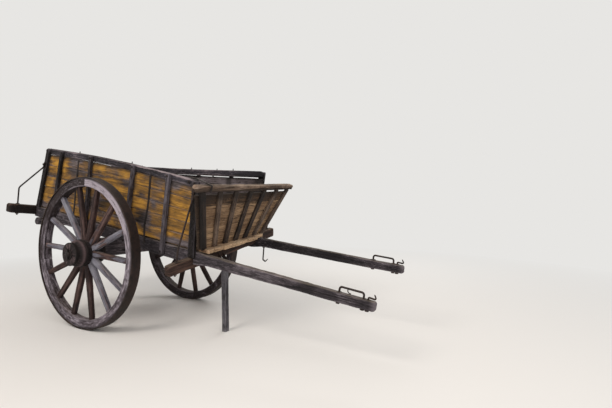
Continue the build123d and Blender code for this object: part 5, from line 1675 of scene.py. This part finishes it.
# %% Staples and hooks on the shafts
STAPLE_R, STAPLE_RISE, STAPLE_LONG, STAPLE_REAR, STAPLE_BEND_R = 0.009, 0.046, 0.205, 2.77, 0.02
NUT_R, NUT_DEEP = 0.015, 0.014
HOOK_R, HOOK_LONG, HOOK_AHEAD, HOOK_RISE, HOOK_DIP = 0.008, 0.066, 0.038, 0.022, -0.006
HOOK_BACK, HOOK_OPEN, HOOK_BEND_R = 0.022, 0.03, 0.01
DROP_HOOK_S, DROP_HOOK_LONG, DROP_HOOK_R, DROP_HOOK_BEND = 1.44, 0.15, 0.008, 0.034


def shaft_spot(side, s, h):
    return on_side(side, s, shaft_middle_y(s), h)


def shaft_nuts(side, s, plate_wide, seed, plate_seed):
    """Nut below a shaft and washer plate on top of it, where an iron goes through."""
    (low, top), up = beam_edges(side, s), up_at(PITCH[side])
    return [nut(shaft_spot(side, s, low - NUT_DEEP / 2), up, 2 * NUT_R, NUT_DEEP, seed),
            nut(shaft_spot(side, s, top + 0.002), up, plate_wide, 0.005, plate_seed)]


def add_staple(side, seed):
    rear, front = STAPLE_REAR, STAPLE_REAR + STAPLE_LONG
    lows, tops = beam_edges(side, np.array([rear, front]))
    turns = ((rear, lows[0] - NUT_DEEP), (rear, tops[0] + STAPLE_RISE),
             (front, tops[1] + STAPLE_RISE), (front, lows[1] - NUT_DEEP))
    corners = [shaft_spot(side, s, h) for s, h in turns]
    parts = [rod(bent_line(corners, STAPLE_BEND_R, 0.004), STAPLE_R, seed, 16, 0.07)]
    for number, s in enumerate((rear, front)):
        parts += shaft_nuts(side, s, 0.042, seed + number, seed + 3 + number)
    put_irons(f"staple_{side}", parts, [f"shaft_staple_{side}"])


def add_hook(side, seed):
    s = STAPLE_REAR + STAPLE_LONG + HOOK_AHEAD
    low, top = beam_edges(side, s)
    corners = [shaft_spot(side, s, low - NUT_DEEP), shaft_spot(side, s, top + HOOK_RISE),
               shaft_spot(side, s + HOOK_LONG, top + HOOK_RISE + HOOK_DIP),
               shaft_spot(side, s + HOOK_LONG - HOOK_BACK, top + HOOK_RISE + HOOK_OPEN)]
    path = bent_line(corners, HOOK_BEND_R, 0.0025)
    parts = [rod(path, HOOK_R, seed, 16, 0.07, taper=drawn_out(path, 0.75, 0.62))]
    put_irons(f"hook_{side}", parts + shaft_nuts(side, s, 0.036, seed + 1, seed + 2), [f"shaft_hook_{side}"])


def add_drop_hook():
    low, top = beam_edges("left", DROP_HOOK_S)
    end_h, bend, up = low - DROP_HOOK_LONG, DROP_HOOK_BEND, up_at(PITCH["left"])
    turns = ((0, top), (0, end_h), (bend, end_h - bend / 2), (2 * bend, end_h + bend / 2))
    corners = [shaft_spot("left", DROP_HOOK_S + ahead, h) for ahead, h in turns]
    path = bent_line(corners, bend / 3, 0.003)
    parts = [rod(path, DROP_HOOK_R, 640, 16, 0.07, taper=drawn_out(path, 0.8, 0.55)),
             nut(corners[0] + up * 0.004, up, 0.03, 0.010, 641),
             nut(shaft_spot("left", DROP_HOOK_S, low - 0.005), up, 0.03, 0.008, 642)]
    put_irons("hanging_hook", parts, ["drop_hook"])


for side, seed in (("right", 660), ("left", 680)):
    add_staple(side, seed)
    add_hook(side, seed + 6)
add_drop_hook()

# %% [markdown]
# ## The axle
# The axle is a square bar in its wooden bed, with a round arm through each hub. A washer and
# a linch pin hold the wheel on. Bar and arm could be joined with a Boolean; here the round
# arm simply starts inside the end of the bar, which keeps every face clean.

# %% Axle
AXLE_R, AXLE_BAR, AXLE_STUB = 0.031, 0.062, 0.03
LINCH_R, LINCH_LONG, WASHER_R, WASHER_THICK, HUB_PLAY = 0.007, 0.12, 0.052, 0.008, 0.001


def add_axle():
    bar_half, arm_end = WHEEL_Y + HUB_IN - HUB_PLAY, WHEEL_Y + HUB_OUT + AXLE_STUB
    face = HUB_OUT + HUB_PLAY
    pin_y = WHEEL_Y + face + WASHER_THICK + LINCH_R + SEAT_GAP
    bar = box_corners(AXLE - LEFT * bar_half, AXLE + LEFT * bar_half, AHEAD, UP, AXLE_BAR, AXLE_BAR)
    parts = [timber(bar, 701, edge=0.003, end_round=0.002, waves=0.0004, grooves=0.0002, checks=0)]
    pins, washers = [], []
    for side, sign in SIDES.items():
        path = AXLE + LEFT * sign * np.linspace(bar_half, arm_end - 0.01, 60)[:, None]
        parts.append(rod(path, AXLE_R, 702 + (sign > 0), 30, 0.02, taper=drawn_out(path, 56 / 60, 0.93)))
        washers.append(hoop(side, AXLE_R - 0.002, WASHER_R, face, face + WASHER_THICK, 705, 60,
                            spacing=0.006))
        path = AXLE + LEFT * sign * pin_y + UP * np.linspace(-LINCH_LONG / 2, LINCH_LONG / 2, 26)[:, None]
        pins.append(rod(path, LINCH_R, 707, 14, 0.08, spread=drawn_out(path, 20 / 26, 1.12)))
    put_irons("axle_iron", parts, ["axle"], HUB_IRON)
    put_irons("linch_irons", pins, ["linch_pins"], HUB_IRON)
    put_irons("washer_irons", washers, ["axle_washers"], HUB_IRON)


add_axle()

# %% [markdown]
# ## Straps
# Two thin iron straps run up each wall and have been knocked out of line. A plain flat bar
# would look new. A strap is drawn like a thin timber without checks, through nine places
# that each have their own bend, and its studs follow the same bends.

# %% Straps
STRAP_WIDE, STRAP_THICK = 0.024, 0.006
# Place of the foot, place of the head, height of the foot and height of the head
STRAPS = ((-0.69, -0.682, 0.205, 0.94), (0.576, 0.562, 0.205, 0.925))
# How far each strap is bent out of line at even steps up its length
STRAP_BENDS = ((0, 0.003, 0.004, 0, -0.004, -0.006, -0.002, 0, 0),
               (0, -0.012, -0.022, -0.012, 0, 0.004, 0.003, 0, 0))
STRAP_STEPS = np.linspace(0, 1, 9)
FLAT_BAR = {"edge": 0.0018, "grooves": 0.0002, "checks": 0}


def strap_place(number, share):
    """Place and height at a share of a strap's length."""
    foot_s, head_s, foot_h, head_h = STRAPS[number]
    bend = np.interp(share, STRAP_STEPS, STRAP_BENDS[number])
    return foot_s + (head_s - foot_s) * share + bend, foot_h + (head_h - foot_h) * share


def add_straps(side, seed):
    """Flat iron straps up the outside of a wall, each held by studs at both ends and in the middle."""
    parts, face = [], HALF_BODY + STRAP_THICK
    for number in range(len(STRAPS)):
        stations = [level_section(side, s, STRAP_WIDE, h, face)
                    for s, h in (strap_place(number, share) for share in STRAP_STEPS)]
        parts.append(timber(stations, seed + number, end_round=0.003, spacing=0.015, across=0.005,
                            waves=0.0006, **FLAT_BAR))
        for s, h in (strap_place(number, share) for share in (0.03, 0.5, 0.965)):
            parts.append(stud(on_side(side, s, face, h), LEFT * SIDES[side], 0.008, 0.006, seed + 5))
    put_irons(f"strap_irons_{side}", parts, [f"side_straps_{side}"], STRAP_IRON)


add_straps("right", 730)
add_straps("left", 740)

# %% [markdown]
# ## The prop leg
# The leg hangs on a pin between two iron cheeks, so its head is round about the pin. It is
# one timber whose stations follow half a circle and then the straight leg; the cheeks have
# the same round end, turned down, and reach back up to the beam.

# %% Prop leg
PROP_PIVOT = joint_at["prop_swing"]
PROP_SIDE, PROP_FOOT_SIDE, PROP_LEAN = 0.056, 0.052, 0.008
PROP_PIN_R, CHEEK_THICK, CHEEK_GAP = 0.009, 0.007, 0.0015
CHEEK_WIDE, CHEEK_BACK, CHEEK_RISE = 0.058, 0.085, 0.11


def prop_section(x, z, wide, right, left):
    """Level section about the pivot, a half width each way and from its right to its left."""
    return [(PROP_PIVOT[0] + x + a * wide, PROP_PIVOT[1] + y, z)
            for a, y in ((-1, right), (1, right), (1, left), (-1, left))]


def add_prop():
    half, pin_h = PROP_SIDE / 2, PROP_PIVOT[2]
    stations = []
    for rise in (half, half * 0.92, half * 0.7, half * 0.38, 0.0, -0.02):
        wide = math.sqrt(max(half**2 - rise**2, (half * 0.35) ** 2)) if rise > 0 else half
        stations.append(prop_section(0, pin_h + rise, wide, -half, half))
    for share in (0.25, 0.5, 0.75, 1.0):
        wide = half + (PROP_FOOT_SIDE / 2 - half) * share
        stations.append(prop_section(PROP_LEAN * share, pin_h * (1 - share), wide, -half, half))
    leg = timber(stations, 720, edge=0.005, end_round=0.003, spacing=0.014, across=0.006,
                 waves=0.0014, grooves=0.0009, checks=7, check_deep=0.007)
    put("prop_timber", [leg], PROP_WOOD, "prop", ["prop_leg"])
    reach = half + CHEEK_GAP + CHEEK_THICK
    path = PROP_PIVOT + LEFT * np.linspace(-reach, reach, 12)[:, None]
    put_irons("prop_bolt", [rod(path, PROP_PIN_R, 721, 18, 0.03)], ["prop_pin"])


def add_cheeks():
    half, pin_h = CHEEK_WIDE / 2, PROP_PIVOT[2]
    cheeks = []
    for sign in (-1, 1):
        near = PROP_SIDE / 2 + CHEEK_GAP
        right, left = sorted((sign * near, sign * (near + CHEEK_THICK)))
        stations = []
        for share in np.linspace(-0.25, 1, 11):
            drop = max(-share, 0) * 4 * half
            wide = math.sqrt(max(half**2 - drop**2, 0.00012))
            x, z = -CHEEK_BACK * max(share, 0), pin_h + CHEEK_RISE * max(share, 0) - drop
            stations.append(prop_section(x, z, wide, right, left))
        cheeks.append(timber(stations, 722 + sign, end_round=0.001, spacing=0.01, across=0.006,
                             waves=0.0004, **FLAT_BAR))
    put_irons("prop_plates", cheeks, ["prop_cheeks"])


add_prop()
add_cheeks()

# %% [markdown]
# ## Bolts, nails and loose links
# Bolts come up through both rails, and nuts hold the uprights to the long beams. Nails go
# through each upright into each board. A flat hook ties the right rail to the front rail,
# and an open link hangs on the right staple. Such small irons could be painted on as dots,
# but in low light each one throws its own shadow, so they are real shapes.

# %% Small irons
# Place of each bolt end along a rail, and how far it stands out
RAIL_BOLTS = ((-1.33, 0.003), (-0.723, 0.02), (0.218, 0.022), (0.647, 0.018), (0.9, 0.024))
NAIL_R, NAIL_RISE = 0.0045, 0.003
POST_BOLT, TIE_BOLT = (0.022, 0.007, 0.0045, 0.005), (0.026, 0.009, 0.006, 0.007)
LINK_S, LINK_REACH, LINK_R = 2.86, 0.021, 0.0045
# Where the tie hook crosses the front rail, as a share of its length from the right, and its radius
HOOK_SHARE, TIE_R = 0.085, 0.0085


def add_wall_irons(side, seed):
    """Bolt ends on a rail, nuts at the feet of the uprights and nails up their length."""
    out, up = LEFT * SIDES[side], up_at(PITCH[side])
    parts = []
    for number, (s, stand) in enumerate(RAIL_BOLTS):
        place = on_side(side, s, HALF_BODY - RAIL_WIDE * 0.5, rail_height(side, s) - 0.003)
        parts.append(nut(place + up * 0.001, up, 0.03, 0.004, seed + number))
        parts.append(bolt_end(place, up, 0.0055, stand, seed + 10 + number))
    for number, row in enumerate(UPRIGHTS + CORNER_POSTS[side]):
        (foot_s, foot_h), (head_s, head_h) = post_line(side, row)
        for share in np.linspace(0.03, 0.97, 9):
            s, h = foot_s + (head_s - foot_s) * share, foot_h + (head_h - foot_h) * share
            spot = on_side(side, s + 0.008 * math.sin(share * 40 + number), POST_OUT_Y - 0.001, h)
            if share < 0.1 or share > 0.9:
                parts += bolt(spot, out, *POST_BOLT, seed + 20 + number)
            else:
                parts.append(stud(spot, out, NAIL_R, NAIL_RISE, seed + 30 + number))
    put_irons(f"wall_bolts_{side}", parts, metal=STRAP_IRON)


def add_board_nails():
    """Nails through each batten of the end walls into each board."""
    parts = []
    for wall, count, battens, face in ((FRONT, FRONT_BOARDS, FRONT_BATTENS, BATTEN_THICK),
                                       (TAIL, TAIL_BOARDS, TAIL_BATTENS, 0.0)):
        for number, (share, _) in enumerate(battens):
            for row in range(count):
                for offset in (-0.011, 0.012):
                    flat = wall.point(share, (row + 0.5) / count * 0.94) + [offset, offset * 1.6]
                    place = wall.world(flat, face - 0.0006)
                    parts.append(stud(place, wall.z, NAIL_R, NAIL_RISE, 760 + number))
    put_irons("end_wall_nails", parts, metal=STRAP_IRON)


def add_tie_hook():
    """Flat hook from the front end of the right rail over the front board's rail and down its face."""
    over = FRONT_RAIL_DEEP + 0.013
    corners = [on_body(s, -y, h) for s, y, h in ((1.10, 0.471, 0.952), (1.19, 0.486, 0.956))]
    corners += [FRONT.world(FRONT.point(HOOK_SHARE, 1, rise), depth)
                for rise, depth in ((over, -0.03), (over, 0.047), (0.008, 0.047))]
    parts = [rod(bent_line(corners, 0.012, 0.004), TIE_R, 771, 14, 0.2, spread=1.3)]
    for number, s in enumerate((1.10, WALL_TOP["right"][2] - 0.028)):
        spot = on_side("right", s, HALF_BODY - 0.001, rail_height("right", s) - 0.035)
        parts += bolt(spot, -LEFT, *TIE_BOLT, 773 + number)
    put_irons("tie_hook", parts, metal=STRAP_IRON)


def add_loose_link():
    """Open link that hangs on the bar of the right staple."""
    hang_h = beam_edges("right", STAPLE_REAR)[1] + STAPLE_RISE - LINK_REACH * 0.78
    y = shaft_middle_y(LINK_S)
    places = [on_side("right", LINK_S + LINK_REACH * math.cos(t), y + 0.004 * math.sin(t),
                      hang_h + LINK_REACH * math.sin(t)) for t in np.radians(np.linspace(65, 285, 26))]
    put_irons("loose_link", [rod(places, LINK_R, 781, 12, 0.08)])


add_wall_irons("right", 800)
add_wall_irons("left", 850)
add_board_nails()
add_tie_hook()
add_loose_link()
